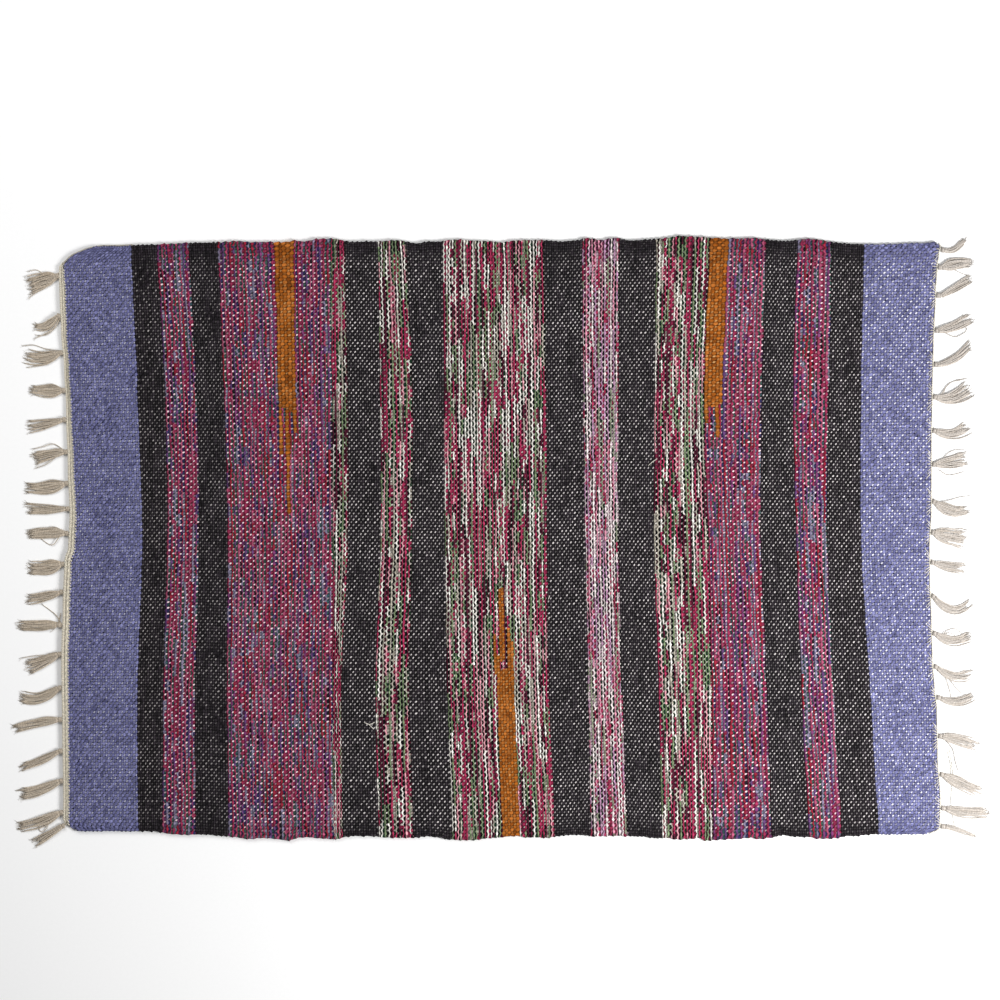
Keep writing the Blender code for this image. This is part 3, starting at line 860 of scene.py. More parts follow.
YARNS = {
    # The warp that shows in the left stripes is the same yarn as further right, painted darker there as
    # shade of the dimmer left end, and it shows less.
    "blue_left": Yarn(BLUES, None, 1.0, 0.0, 1.6, (192, 192, 208), 0.38, 0.85, 0.14, 1.35, 0.0),
    "blue_right": Yarn(BLUES, None, 1.0, 0.0, 1.6, (220, 219, 228), 0.56, 0.80, 0.15, 1.2, 0.0),
    "black_left": Yarn(BLACKS, None, 1.0, 0.0, 6.0, (196, 190, 188), 0.30, 0.85, 0.70, 1.2, 0.0),
    "black": Yarn(BLACKS, None, 1.0, 0.0, 6.0, (212, 206, 204), 0.48, 0.80, 0.70, 1.2, 0.0),
    "pink": Yarn(CRIMSONS, DARK_MATES, 0.52, 0.12, 16.0, (238, 214, 218), 0.64, 0.80, 0.6, 1.0, 0.2),
    "mixed": Yarn(MIXED_LIGHTS, MIXED_DARKS, 0.43, 0.10, 21.0, CREAM, 0.46, 0.80, 0.7, 1.1, 0.45),
    "lilac": Yarn(LILAC_LIGHTS, LILAC_DARKS, 0.45, 0.10, 20.0, CREAM, 0.50, 0.80, 0.65, 1.1, 0.4),
    "orange": Yarn(ORANGES, None, 1.0, 0.0, 3.0, ORANGE_WARP, 0.35, 0.70, 0.40, 0.90, 0.0),
}
# Lean of an opening's painted shade from the horizontal, in degrees, and half its length and width in
# picks
OPEN_ONE = (28.0, 0.52, 0.25)
OPEN_TWO = (72.0, 0.50, 0.24)

# Where orange weft takes the place of the stripe's own. Columns: first and last pick counted in the
# stripe, lowest and highest warp.
Patch = namedtuple("Patch", "first last low high")
PATCHES = {
    "pink_2": (
        Patch(15, 19, 145.4, 206.0), Patch(15, 15, 130.6, 146.0), Patch(17, 17, 111.8, 146.0),
        Patch(19, 19, 136.8, 146.0),
    ),
    "mixed_3": (
        Patch(17, 22, -2.0, 58.6), Patch(16, 16, 56.0, 70.0), Patch(17, 17, 58.0, 62.0),
        Patch(21, 21, 58.0, 71.7), Patch(22, 22, 58.0, 66.0), Patch(18, 19, 61.5, 86.4),
    ),
    "pink_3": (Patch(0, 4, 146.0, 206.0), Patch(0, 0, 141.0, 147.0), Patch(3, 3, 135.8, 147.0)),
}

# Numbers that keep the random draws apart
RUN_DRAW, COLOUR_DRAW, TONE_DRAW, BEAD_DRAW = 7.5, 1.5, 9.5, 2.5
OPENING_DRAW, DOT_DRAW, PATCH_DRAW = 5.5, 3.5, 2.5
CORD_TONE_DRAW, CORD_WARMTH_DRAW = 4.5, 8.5
# Spread and least value of what is drawn: how fast the runs of a strand follow each other, where they
# start, the tone of a run and of a bead, how dark an opening's painted shade is, and how ragged a patch
# ends
RUN_SPEED = (7.0, 0.5)
RUN_START = 57.0
RUN_TONE = (0.24, 0.88)
BEAD_TONE = (0.50, 0.73)
OPENING_LUCK = (0.55, 0.25)
PATCH_RAGGED = (3.0, -1.5)
# Painted shade of a round strand, darker at its sides: for a yarn whose grid is 1
STRAND_SIDES, STRAND_MIDDLE = -2.4, 0.14
# Where the painted shade of the openings lies beside the crossings, in picks and warps, and how much
# fainter it is beside weft
OPENING_PICK, OPENING_WARP = 0.50, 0.40
OPENING_UNDER_WEFT = -0.70
# How far a narrower first strand moves the painted shade of the openings and the dots, and narrows the
# dots: for a split of 0
SPLIT_OPENING, SPLIT_DOT, SPLIT_NARROWS = 0.44, 0.4, 0.22
# Half width and length of a dot of warp, and its lean
DOT_HALF = (0.42, 0.30)
DOT_LEAN = -0.30
# How dots vary: power, spread and least of the luck, then the areas with more or fewer of them
DOT_POWER, DOT_SPREAD, DOT_LEAST = 1.7, 2.2, 0.8
DOT_AREA_PICK, DOT_AREA_WARP, DOT_AREA_SCALE = 0.9, 0.5, 0.12
DOT_AREA = (0.5, -0.25)
# Painted light and shade of the rounded weft on top, along a warp: its fall to both sides and its
# middle, for a grid of 1
CROWN_FALL, CROWN_TOP = -2.2, 1.06
# Painted shade of the weft where it dips: its middle under a warp, for a gap of 1, and its sides
DIP_FIRST, DIP_SECOND, DIP_SIDES = 0.45, -0.25, 0.85
# Soft rims. The oval of an opening's painted shade and of a dot, from outside to inside, as squares of
# the distance.
OPENING_RIM = (1.4, 0.3)
DOT_RIM = (1.25, 0.45)
# Where the painted shade sets in from the middle to the side of a crossing: in picks at the pick's
# sides, and in warps where the weft dips
PICK_RIM = (0.32, 0.50)
DIP_RIM = (0.25, 0.50)
# Where the dots fade towards the two selvages, in warps, and how much is left of them
FADE_BOTTOM = (0.5, 7.0, 0.1, 1.0)
FADE_TOP = (WARPS - 10.0, WARPS - 2.0, 1.0, 0.1)
# Speckle of the fibres, fine and then coarse: stretch, scale and detail of its noise, and its tone
FINE_STRETCH, FINE_NOISE, COARSE_NOISE = 3.0, (4.0, 2.0), 1.7
FIBRE_FINE = (0.8, 0.64)
FIBRE_COARSE = (0.35, 0.65, 0.84, 1.16)
# Fine height: the sides of a strand, its middle, the plies and the fibres
HEIGHT_SIDES, HEIGHT_MIDDLE, HEIGHT_PLY, HEIGHT_FIBRE = -3.5, 0.5, 0.12, 0.5
PLY_ALONG, PLY_ACROSS = 11.0, 9.0
WEAVE_BUMP = (0.5, 0.35 * MM)
WEAVE_ROUGHNESS = (0.12, 0.84)
ROUGHNESS_NOISE = 3.0
WEAVE_SHEEN = 0.03


def strand_colour(recipe, u, v, yarn):
    """Colour of the strand at a place, with painted shade at its sides, its place across the strand,
    and 1 on a pick's second strand.
    """
    swung = u + (v * math.pi).sine() * yarn.sway
    pick = swung.floor()
    local = swung - pick
    second = local > yarn.split
    middle = second.line(0.5, yarn.split / 2)
    width = second.line(1.0 - 2.0 * yarn.split, yarn.split)
    across = (local - middle) / width
    strand = pick.line(2.0, second)
    luck = recipe.chance(strand, RUN_DRAW)
    speed = (luck * luck).line(*(speed / yarn.run for speed in RUN_SPEED))
    run = (v * speed + luck * RUN_START).floor()
    draw = recipe.chance(strand, run, COLOUR_DRAW)
    colour = recipe.palette(draw, yarn.first)
    if yarn.second:
        colour = recipe.blend(second, colour, recipe.palette(draw, yarn.second))
    tone = recipe.chance(strand, run, TONE_DRAW).line(*RUN_TONE)
    bead = recipe.chance(strand, v.floor(), BEAD_DRAW).line(*BEAD_TONE)
    # Painted shade: the strand is darker at its sides, where it rounds away
    rounding_shade = (across * across).line(STRAND_SIDES * yarn.grid, 1.0 + STRAND_MIDDLE * yarn.grid)
    return recipe.scaled(colour, tone * bead * rounding_shade), across, second


def cell_place(u, v):
    """Numbers of the pick and the warp at a place, the place from the middle of their crossing, and
    1 where the weft is on top."""
    pick, warp = u.floor(), v.floor()
    across = u - pick - 0.5
    along = v - warp - 0.5
    return pick, warp, across, along, (pick + warp).math("FLOORED_MODULO", 2.0)


def oval(across, along, half_across, half_along):
    """The square of the distance from an oval's middle, 1 on its rim."""
    return abs(across * (1 / half_across)) ** 2.0 + abs(along * (1 / half_along)) ** 2.0


def opening_shade(recipe, u, v, yarn):
    """Painted shade in the slanting openings beside each warp that passes over the weft, as a tone, and
    1 elsewhere.
    """
    lean, half_length, half_width = OPEN_TWO if yarn.second else OPEN_ONE
    cosine, sine = math.cos(math.radians(lean)), math.sin(math.radians(lean))
    beside = u + (OPENING_PICK + SPLIT_OPENING * (1.0 - yarn.split))
    pick, warp, across, along, weft_over = cell_place(beside, v + OPENING_WARP)
    lengthwise = across * cosine + along * sine
    crosswise = across * sine + along * -cosine
    shape = oval(lengthwise, crosswise, half_length, half_width).ease(*OPENING_RIM)
    luck = recipe.chance(pick, warp, OPENING_DRAW).line(*OPENING_LUCK)
    shade = shape * luck * weft_over.line(OPENING_UNDER_WEFT, 1.0)
    return shade.line(-yarn.gap, 1.0)


def dot_strength(recipe, pick, warp, u, v, yarn):
    """How strongly the warp shows at a crossing: unevenly, more in some areas, less at a selvage."""
    luck = recipe.chance(pick, warp, DOT_DRAW)
    spread = (luck ** DOT_POWER).line(DOT_SPREAD * yarn.uneven, 1.0 - DOT_LEAST * yarn.uneven)
    area = recipe.noise(u * DOT_AREA_PICK, v * DOT_AREA_WARP, DOT_AREA_SCALE)
    strength = spread * yarn.dots + area.line(*DOT_AREA)
    strength = strength * v.ease(*FADE_BOTTOM) * v.ease(*FADE_TOP)
    return strength.math("MINIMUM", 1.0).math("MAXIMUM", 0.0)


def weft_and_warp(recipe, u, v, yarn):
    """Colour, with painted shade in the grooves, dips and openings, and fine height of a plain weave at
    a place in the weave.
    """
    pick, warp, across, along, weft_over = cell_place(u, v)
    warp_over = 1.0 - weft_over
    colour, strand_across, second = strand_colour(recipe, u, v, yarn)
    # Painted shade in the grooves at the pick's sides
    edge = abs(across).ease(*PICK_RIM, 1.0, 1.0 - yarn.grid)
    # Painted light and shade of the weft on top: lighter at its middle, darker at its ends
    crown_shade = (along * along).line(CROWN_FALL * yarn.grid, CROWN_TOP)
    # Painted shade where the weft dips under a warp
    dip_shade_depth = second.line(DIP_SECOND * yarn.gap, 1.0 - DIP_FIRST * yarn.gap)
    dip_shade = abs(along).ease(*DIP_RIM, dip_shade_depth, DIP_SIDES)
    # The first strand of two is spared part of the painted shade along a warp
    steady = second.line(-yarn.steady, yarn.steady)
    body = (weft_over * crown_shade + warp_over * dip_shade) * steady.line(-1.0, 1.0) + steady
    fibre = recipe.noise(u * FINE_STRETCH, v, *FINE_NOISE).line(*FIBRE_FINE)
    fibre = fibre * recipe.noise(u, v, COARSE_NOISE).ease(*FIBRE_COARSE)
    # All the painted shade, with the fibres' own speckle
    shade = edge * body * (fibre * opening_shade(recipe, u, v, yarn))
    colour = recipe.scaled(colour, shade)
    beside = across - SPLIT_DOT * (1.0 - yarn.split)
    half = DOT_HALF[0] - SPLIT_NARROWS * (1.0 - yarn.split)
    dot = oval(beside, along + across * DOT_LEAN, half, DOT_HALF[1]).ease(*DOT_RIM) * warp_over
    strength = dot_strength(recipe, pick, warp, u, v, yarn)
    colour = recipe.blend(dot * strength, colour, linear(*yarn.warp))
    ply = (v * PLY_ALONG + u * PLY_ACROSS).sine()
    height = (strand_across * strand_across).line(HEIGHT_SIDES * yarn.grid, HEIGHT_MIDDLE)
    height = height + ply * HEIGHT_PLY + fibre * HEIGHT_FIBRE
    return colour, height.math("MAXIMUM", dot)


def patch_mask(recipe, u, v, patches, first_pick):
    """1 where a patch's own weft shows, and 0 elsewhere."""
    pick = u.floor()
    ragged = v + recipe.chance(pick, PATCH_DRAW).line(*PATCH_RAGGED)
    mask = 0.0
    for patch in patches:
        middle = first_pick + (patch.first + patch.last) / 2
        half = (patch.last - patch.first) / 2 + 0.5
        between = (ragged > patch.low) * (ragged < patch.high)
        mask = recipe.math("MAXIMUM", mask, (abs(pick - middle) < half) * between)
    return mask


def weave_material(name, yarn, patches, first_pick):
    recipe = Recipe(name)
    u, v = recipe.map_axes("Weave")
    colour, height = weft_and_warp(recipe, u, v, yarn)
    if patches:
        orange = weft_and_warp(recipe, u, v, YARNS["orange"])[0]
        colour = recipe.blend(patch_mask(recipe, u, v, patches, first_pick), colour, orange)
    recipe.bump(height, *WEAVE_BUMP)
    roughness = recipe.noise(u, v, ROUGHNESS_NOISE).line(*WEAVE_ROUGHNESS)
    return recipe.finish(colour, roughness, WEAVE_SHEEN)


# Cotton cord: how far the furrows wind in a millimetre, in radians, how much darker each channel of
# the warmest yarn is, and the spread and least of the yarns' tone and of the soil
CORD_TWIST = 2.4
CORD_WARMTH = (3, 6, 10)
CORD_TONE = (0.26, 0.86)
CORD_SOIL = (0.7, 0.62)
# Painted shade of the furrows between the plies: where it darkens, as the sine of their turn. Then the
# noises: stretch along the yarn (and round it), scale and detail, and the shares of the furrows and of
# the fibres in the bump.
FURROW_SHADE = (-1.0, -0.1)
SOIL_STRETCH, SOIL_NOISE = 0.12, (3.0, 2.0)
CORD_FIBRE_STRETCH, CORD_FIBRE_NOISE = (0.6, 9.0), (4.0, 3.0)
BUMP_TWIST, BUMP_FIBRE = 0.5, 0.6
# The finish
CORD_BUMP = (0.6, 0.25 * MM)
CORD_ROUGHNESS = (0.15, 0.8)
CORD_SHEEN = 0.08


def cord_material(name, colour, furrow_shade_tone):
    """Undyed cotton: pale plies with painted shade in the furrows that wind round the yarn."""
    recipe = Recipe(name)
    around, along = recipe.map_axes("Yarn")
    yarn = around.floor()
    twist = (around * (4 * math.pi) + along * CORD_TWIST).sine()
    # Painted shade in the furrows between the plies
    furrow_shade = twist.ease(*FURROW_SHADE, furrow_shade_tone, 1.0)
    tone = recipe.chance(yarn, CORD_TONE_DRAW).line(*CORD_TONE)
    soil = recipe.noise(yarn, along * SOIL_STRETCH, *SOIL_NOISE).line(*CORD_SOIL)
    warmer = [channel - less for channel, less in zip(colour, CORD_WARMTH)]
    warmth = recipe.chance(yarn, CORD_WARMTH_DRAW)
    blended = recipe.blend(warmth, linear(*colour), linear(*warmer))
    colour = recipe.scaled(blended, furrow_shade * tone * soil)
    along_fibre, round_fibre = CORD_FIBRE_STRETCH
    fibre = recipe.noise(around * round_fibre, along * along_fibre, *CORD_FIBRE_NOISE)
    recipe.bump(twist * BUMP_TWIST + fibre * BUMP_FIBRE, *CORD_BUMP)
    return recipe.finish(colour, fibre.line(*CORD_ROUGHNESS), CORD_SHEEN)


# Start and extent of a tube on its maps: round it, then across and up its column, then the foot of
# its two caps and their size
TURN_MAP = (0.02, 0.96)
TUBE_ACROSS = (0.06, 0.88)
TUBE_UP = (0.04, 0.92)
CAP_LOW = (0.005, 0.975)
CAP_HALF = 0.4
CAP_HEIGHT = 0.02


class Yarns:
    """Tubes of yarn, gathered for one mesh."""

    def __init__(self):
        self.tubes = []

    def add(self, path, radii, sides=6):
        self.tubes.append((np.asarray(path, float), np.asarray(radii, float), sides))

    def build(self, name, material):
        parts = MeshParts()
        for number, (path, radii, sides) in enumerate(self.tubes):
            self.add_tube(parts, number, path, np.broadcast_to(radii, len(path)), sides)
        return parts.build(name, material, "Yarn")

    def add_tube(self, parts, number, path, radii, sides):
        """A tube with flat ends, and a map of turns around and millimetres along."""
        ahead = unit(np.gradient(path, axis=0))
        beside = unit(np.cross(np.array([0.0, 0.0, 1.0]), ahead))
        above = np.cross(ahead, beside)
        turn = np.arange(sides + 1) / sides
        angle = 2.0 * np.pi * turn
        cosine, sine = np.cos(angle), np.sin(angle)
        ring = beside[:, None] * cosine[None, :, None] + above[:, None] * sine[None, :, None]
        points = path[:, None] + ring * radii[:, None, None]
        around = number + TURN_MAP[0] + TURN_MAP[1] * turn
        uvs = np.stack(np.broadcast_arrays(around[None, :], lengths_along(path)[:, None]), axis=-1)
        index = parts.add_points(points[:, :-1], uvs[:, :-1])
        index = np.concatenate([index, index[:, :1]], axis=1)
        row, column = grid_corners(len(path), sides + 1)
        count = len(self.tubes)
        across = (number + TUBE_ACROSS[0] + TUBE_ACROSS[1] * column / sides) / count
        up = TUBE_UP[0] + TUBE_UP[1] * row / (len(path) - 1)
        parts.add_faces(grid_quads(index), np.stack([across, up], axis=-1))
        for end, order, low in ((0, -1, CAP_LOW[0]), (-1, 1, CAP_LOW[1])):
            across = (number + 0.5 + CAP_HALF * cosine[:-1]) / count
            up = low + CAP_HEIGHT * (0.5 + CAP_HALF * sine[:-1])
            parts.add_faces([index[end, :-1][::order]], np.stack([across, up], axis=1)[::order])


# Yarns of the fringe
YARN_RADIUS = 0.62
YARN_SECTIONS = 13
YARNS_PER_WIDTH = 1.25
WISP_RADIUS = 0.17
WISPS = 3
WISP_LENGTH = (2.0, 5.5)
YARN_SEED = 23
FLOOR_CLEARANCE = 0.05
# How unevenly long the yarns of a bunch are, how far a tip strays, and how far a yarn ripples
TIP_SPREAD = 0.18
STRAY = 1.7
RIPPLE = 0.35
RIPPLE_TURNS = (5.0, 9.0)
# Fewest yarns of a bunch, how far they fan out as a share of its half width, how much less the upper
# layer does, how unevenly they lie side by side, and how far they stay inside, in radii
LEAST_YARNS = 8
FAN = 0.9
UPPER_FAN = 0.82
NUDGE = 0.3
INSIDE = 0.6
# Lift of the upper layer, with its spread, in gaps between layers; that gap in radii; and how much
# all yarns rise towards the knot
UPPER_LIFT = (1.15, 0.25)
LAYER_GAP = 1.3
KNOT_RISE = 0.9
# How a yarn's thickness varies along it, how fast, and what is left of it at the tip
YARN_UNEVEN = 0.10
UNEVEN_TURNS = 11.0
TIP_SHARE = 0.7
# Wisps: points, greatest turn from the yarn, start inside the yarn, greatest place beside its middle
# in radii, and share of the thickness lost at the tip
WISP_POINTS = 5
WISP_TURN = 0.6
WISP_INSIDE = 0.5
WISP_ASIDE = 0.5
WISP_TAPER = 0.6
LOOSE_TAPER = 0.35

# Knot: length for each wrap, radius of a wrap as a share of that, lean of the wraps, how much the
# outer wraps are smaller, and how far a wrap's ring lies inside, in radii
WRAP_LENGTH = 1.7
WRAP_RADIUS = 0.62
WRAP_LEAN = (0.1, 0.35)
WRAP_TAPER = 0.16
WRAP_INSIDE = 0.6
WRAP_POINTS = 16
KNOT_POINTS = 9
# The core: start and extent along the knot, height as a share of the middle's, radius and its bulge
CORE_ALONG = (-0.15, 1.3)
CORE_HEIGHT = 0.95
CORE_RADIUS = (1.2, 0.55)
# The strand that crosses the wraps: start and extent along the knot, half turns round it, how far it
# lies inside the knot's width and height, and its radius in yarns
STRAP_ALONG = (0.15, 0.7)
STRAP_TURNS = (-0.2, 1.1)
STRAP_INSIDE = (0.4, 0.5)
STRAP_RADIUS = 0.9

# Cords of the headings: length of a step, radius of a ply and its reach from the middle as shares of
# the cord's radius
HEADING_STEP = 0.62
PLY_RADIUS = 0.58
PLY_REACH = 0.5
# The left heading's two cords: place across the heading and hand of the twist, radius as a share of
# the heading, length of a turn, and lift where the heading is wider than its thin ends
LEFT_CORDS = ((0.25, 1), (0.75, -1))
LEFT_CORD_RADIUS = 0.27
LEFT_CORD_TWIST = 5.6
LEFT_CORD_LIFT = 0.9
THIN_WIDTH = 3.0
RIGHT_CORD_TWIST = 4.2

# Warp ends: spread of their length and of their lean. Points: share of the length, x, share of the
# lean, y, height.
LEFT_END_SPREAD = (0.7, 1.2)
LEFT_END_LEAN = 0.5
LEFT_END_POINTS = (
    (1.0, 0.0, 1.0, -0.9, 3.2), (0.3, 0.0, 0.0, -0.2, 3.9), (0.0, -0.6, 0.0, 0.5, 3.4),
    (0.0, -1.8, -1.0, 1.0, 2.6),
)
RIGHT_END_SPREAD = (0.6, 1.1)
RIGHT_END_POINTS = (
    (-1.0, 0.0, -0.8, 0.0, 3.6), (-0.4, 0.0, 0.0, 0.0, 4.3), (0.0, -0.2, 0.6, 0.0, 3.4),
    (0.0, 1.3, 1.0, 0.0, 1.6),
)
# Distance from the right heading's two ends without warp ends
RIGHT_END_BARE = 4.0

# Loose threads: points, distance inside the right edge from which they lie on the cloth, how far
# their tips sink into the weave, and share of the thickness lost at the tips
THREAD_POINTS = 12
THREAD_EDGE = 3.0
THREAD_SINK = 0.5
THREAD_TAPER = 0.4


def bundle_width(tassel, share):
    """Width of the whole bunch at shares of its length."""
    opened = np.sin(np.clip(share / BELLY_PLACE, 0.0, 1.0) * np.pi / 2)
    near = LOCK_ROOT_WIDTH + (tassel.belly - LOCK_ROOT_WIDTH) * opened
    far = tassel.belly + (tassel.tips - tassel.belly) * (share - BELLY_PLACE) / (1.0 - BELLY_PLACE)
    return np.where(share < BELLY_PLACE, near, far)


def bunch_line(tassel, start, share):
    """Places, sideways directions and headings of a bunch's middle line at shares of its length."""
    run = np.array([tassel.tip_x, tassel.tip_y]) - start
    place = start + run * share[:, None]
    place[:, 1] += 4.0 * tassel.bow * share * (1.0 - share)
    along = np.repeat(run[None], len(share), axis=0)
    along[:, 1] += 4.0 * tassel.bow * (1.0 - 2.0 * share)
    along = unit(along)
    sideways = np.stack([-along[:, 1], along[:, 0]], axis=1)
    return place, sideways * np.where(sideways[:, 1:] > 0.0, 1.0, -1.0), along


def add_wisps(yarns, chance, end, ahead, radius):
    """The frayed fibres at a yarn's cut end."""
    share = np.linspace(0.0, 1.0, WISP_POINTS)
    for _ in range(WISPS):
        length = chance.uniform(*WISP_LENGTH)
        turn = chance.uniform(-WISP_TURN, WISP_TURN)
        cosine, sine = math.cos(turn), math.sin(turn)
        heading = np.array([ahead[0] * cosine - ahead[1] * sine, ahead[0] * sine + ahead[1] * cosine])
        curl = chance.uniform(-1.0, 1.0)
        path = np.empty((WISP_POINTS, 3))
        path[:, :2] = end[:2] - ahead * WISP_INSIDE + heading * (share * length)[:, None]
        path[:, :2] += np.array([-heading[1], heading[0]]) * (curl * share**2)[:, None]
        offset = chance.uniform(-WISP_ASIDE, WISP_ASIDE) * radius
        path[:, :2] += np.array([-ahead[1], ahead[0]]) * offset
        path[:, 2] = end[2] + (WISP_RADIUS + FLOOR_CLEARANCE - end[2]) * share
        yarns.add(path, WISP_RADIUS * (1.0 - WISP_TAPER * share), 3)


def add_bunch(yarns, chance, tassel, start):
    """The yarns of one tassel, in a lower and an upper layer, from the knot to their frayed tips."""
    count = max(LEAST_YARNS, round(tassel.belly * YARNS_PER_WIDTH))
    share = np.linspace(0.0, 1.0, YARN_SECTIONS)
    for number in range(count):
        upper = number % 2
        spread = -FAN + 2.0 * FAN * (number + chance.uniform(-NUDGE, NUDGE)) / max(count - 1, 1)
        if upper:
            spread *= UPPER_FAN
        end_share = 1.0 - chance.uniform(0.0, TIP_SPREAD)
        place, sideways, along = bunch_line(tassel, start, share * end_share)
        half = bundle_width(tassel, share * end_share) / 2 - YARN_RADIUS * INSIDE
        stray = chance.uniform(-STRAY, STRAY) * share**2
        ripple = RIPPLE * np.sin(share * chance.uniform(*RIPPLE_TURNS) + number)
        offset = spread * half + stray + ripple
        low = YARN_RADIUS + FLOOR_CLEARANCE
        lift = UPPER_LIFT[0] + UPPER_LIFT[1] * chance.uniform(-1.0, 1.0)
        lift *= YARN_RADIUS * LAYER_GAP * upper
        path = np.empty((YARN_SECTIONS, 3))
        path[:, :2] = place + sideways * offset[:, None]
        path[:, 2] = low + lift * (1.0 - share**3) + KNOT_RISE * (1.0 - share) ** 3
        radii = YARN_RADIUS * (1.0 + YARN_UNEVEN * np.sin(share * UNEVEN_TURNS + number))
        radii[-1] *= TIP_SHARE
        yarns.add(path, radii)
        add_wisps(yarns, chance, path[-1], along[-1], YARN_RADIUS)


def smooth_path(points, sections):
    """A smooth path through points, as evenly spaced places along it."""
    points = np.array(points)
    length = lengths_along(points)
    at = np.linspace(0.0, length[-1], sections)
    return np.stack([smooth_curve(length, axis, at) for axis in points.T], axis=1)


def add_loose_yarn(yarns, chance, points, height):
    """A single yarn that lies beside its bunch and ends in a few fibres."""
    path = np.empty((YARN_SECTIONS, 3))
    path[:, :2] = smooth_path(points, YARN_SECTIONS)
    share = np.linspace(0.0, 1.0, YARN_SECTIONS)
    low = LOOSE_RADIUS + FLOOR_CLEARANCE
    path[:, 2] = low + (height - low) * (1.0 - share) ** 2
    yarns.add(path, LOOSE_RADIUS * (1.0 - LOOSE_TAPER * share), 5)
    add_wisps(yarns, chance, path[-1], unit(path[-1, :2] - path[-2, :2]), LOOSE_RADIUS)


def ring_path(centre, half_y, half_z, tilt, sections):
    """A closed loop round the x axis, leaning by a tilt."""
    angle = np.linspace(0.0, 2.0 * np.pi, sections + 1)
    across = half_y * np.cos(angle)
    x, y = centre[0] + across * math.sin(tilt), centre[1] + across * math.cos(tilt)
    return np.stack([x, y, centre[2] + half_z * np.sin(angle)], axis=1)


def add_knot(yarns, chance, back, start, side):
    """An overhand knot: a full core, wraps beside each other and one strand that crosses them."""
    length = abs(start[0] - back)
    middle_z = KNOT_HEIGHT / 2
    wraps = max(2, round(length / WRAP_LENGTH))
    radius = length / wraps * WRAP_RADIUS
    lean = chance.uniform(*WRAP_LEAN) * side
    for number in range(wraps):
        x = back + side * length * (number + 0.5) / wraps
        bulge = 1.0 - WRAP_TAPER * abs(2.0 * (number + 0.5) / wraps - 1.0)
        half_y = (KNOT_WIDTH / 2 - radius * WRAP_INSIDE) * bulge
        half_z = (middle_z - radius) * bulge
        ring = ring_path((x, start[1], middle_z), half_y, half_z, lean, WRAP_POINTS)
        yarns.add(ring, radius, 6)
    share = np.linspace(0.0, 1.0, KNOT_POINTS)
    run = start[0] - back
    core = np.empty((KNOT_POINTS, 3))
    core[:, 0] = back + run * (share * CORE_ALONG[1] + CORE_ALONG[0])
    core[:, 1:] = start[1], middle_z * CORE_HEIGHT
    yarns.add(core, CORE_RADIUS[0] + CORE_RADIUS[1] * np.sin(share * np.pi), 8)
    angle = np.linspace(*STRAP_TURNS, KNOT_POINTS) * np.pi
    strap = np.empty((KNOT_POINTS, 3))
    strap[:, 0] = back + run * (STRAP_ALONG[0] + STRAP_ALONG[1] * share)
    strap[:, 1] = start[1] + (KNOT_WIDTH / 2 - STRAP_INSIDE[0]) * np.cos(angle)
    height = middle_z + (middle_z - STRAP_INSIDE[1]) * np.sin(angle)
    strap[:, 2] = np.maximum(height, YARN_RADIUS)
    yarns.add(strap, YARN_RADIUS * STRAP_RADIUS, 6)


def heading_line(side, table, step):
    """Points every step up one end of the cloth, with the outward normal and the cord's width."""
    y = np.arange(table[0][0], table[-1][0] + step / 2, step)
    x = np.full(len(y), side * CLOTH_LENGTH / 2)
    for _ in range(3):
        bottom, top = row_height(x, 0.0), row_height(x, CLOTH_WIDTH)
        place = np.clip((y - bottom) / (top - bottom), 0.0, 1.0) * CLOTH_WIDTH
        x = row_ends(place)[0 if side < 0 else 1]
    line = np.stack([x, y], axis=1)[y < top]
    width = read_table(table, line[:, 1])
    if side < 0:
        along_top = np.arange(line[-1, 0] + step, CORNER_CORD_END, step)
        corner = np.stack([along_top, row_height(along_top, CLOTH_WIDTH)], axis=1)
        line = np.concatenate([line, corner])
        width = np.concatenate([width, np.full(len(along_top), width[-1])])
    along = unit(np.gradient(line, axis=0))
    normal = np.stack([along[:, 1], -along[:, 0]], axis=1) * side
    return line, normal, width


def add_plied_cord(yarns, line, normal, offset, radius, twist, hand):
    """Two plies that wind round each other along a line."""
    along = lengths_along(line)
    ply, reach = radius * PLY_RADIUS, radius * PLY_REACH
    for turn in (0.0, np.pi):
        angle = hand * 2.0 * np.pi * along / twist + turn
        path = np.empty((len(line), 3))
        path[:, :2] = line + normal * (offset + reach * np.cos(angle))[:, None]
        path[:, 2] = ply + reach + FLOOR_CLEARANCE + reach * np.sin(angle)
        yarns.add(path, ply, 6)


def heading_reach(side, table, y):
    """x of the outside of a heading at a height."""
    line, normal, width = heading_line(side, table, 1.0)
    outer = line + normal * (CLEARANCE + width)[:, None]
    near = np.abs(line[:, 1] - y) <= KNOT_WIDTH / 2
    return (outer[near, 0] * side).max() * side


def add_left_heading(material):
    """Two plied cords side by side."""
    line, normal, width = heading_line(-1, LEFT_HEADING, HEADING_STEP)
    radius = width * LEFT_CORD_RADIUS
    yarns = Yarns()
    for place, hand in LEFT_CORDS:
        offset = CLEARANCE + width * place
        add_plied_cord(yarns, line, normal, offset, radius, LEFT_CORD_TWIST, hand)
    for tube in yarns.tubes:
        tube[0][:, 2] += LEFT_CORD_LIFT * np.clip((width - THIN_WIDTH) / THIN_WIDTH, 0.0, 1.0)
    return yarns.build("heading_left_cords", material)


def add_right_heading(material):
    """One thin plied cord."""
    line, normal, width = heading_line(1, RIGHT_HEADING, HEADING_STEP)
    yarns = Yarns()
    add_plied_cord(yarns, line, normal, CLEARANCE + width / 2, width / 2, RIGHT_CORD_TWIST, 1)
    return yarns.build("heading_right_cord", material)


def warp_exits(side):
    """x and y of every warp where it leaves one end of the cloth."""
    place = (np.arange(WARPS) + 0.5) * WARP_PITCH
    x = row_ends(place)[0 if side < 0 else 1]
    return zip(x, row_height(x, place))


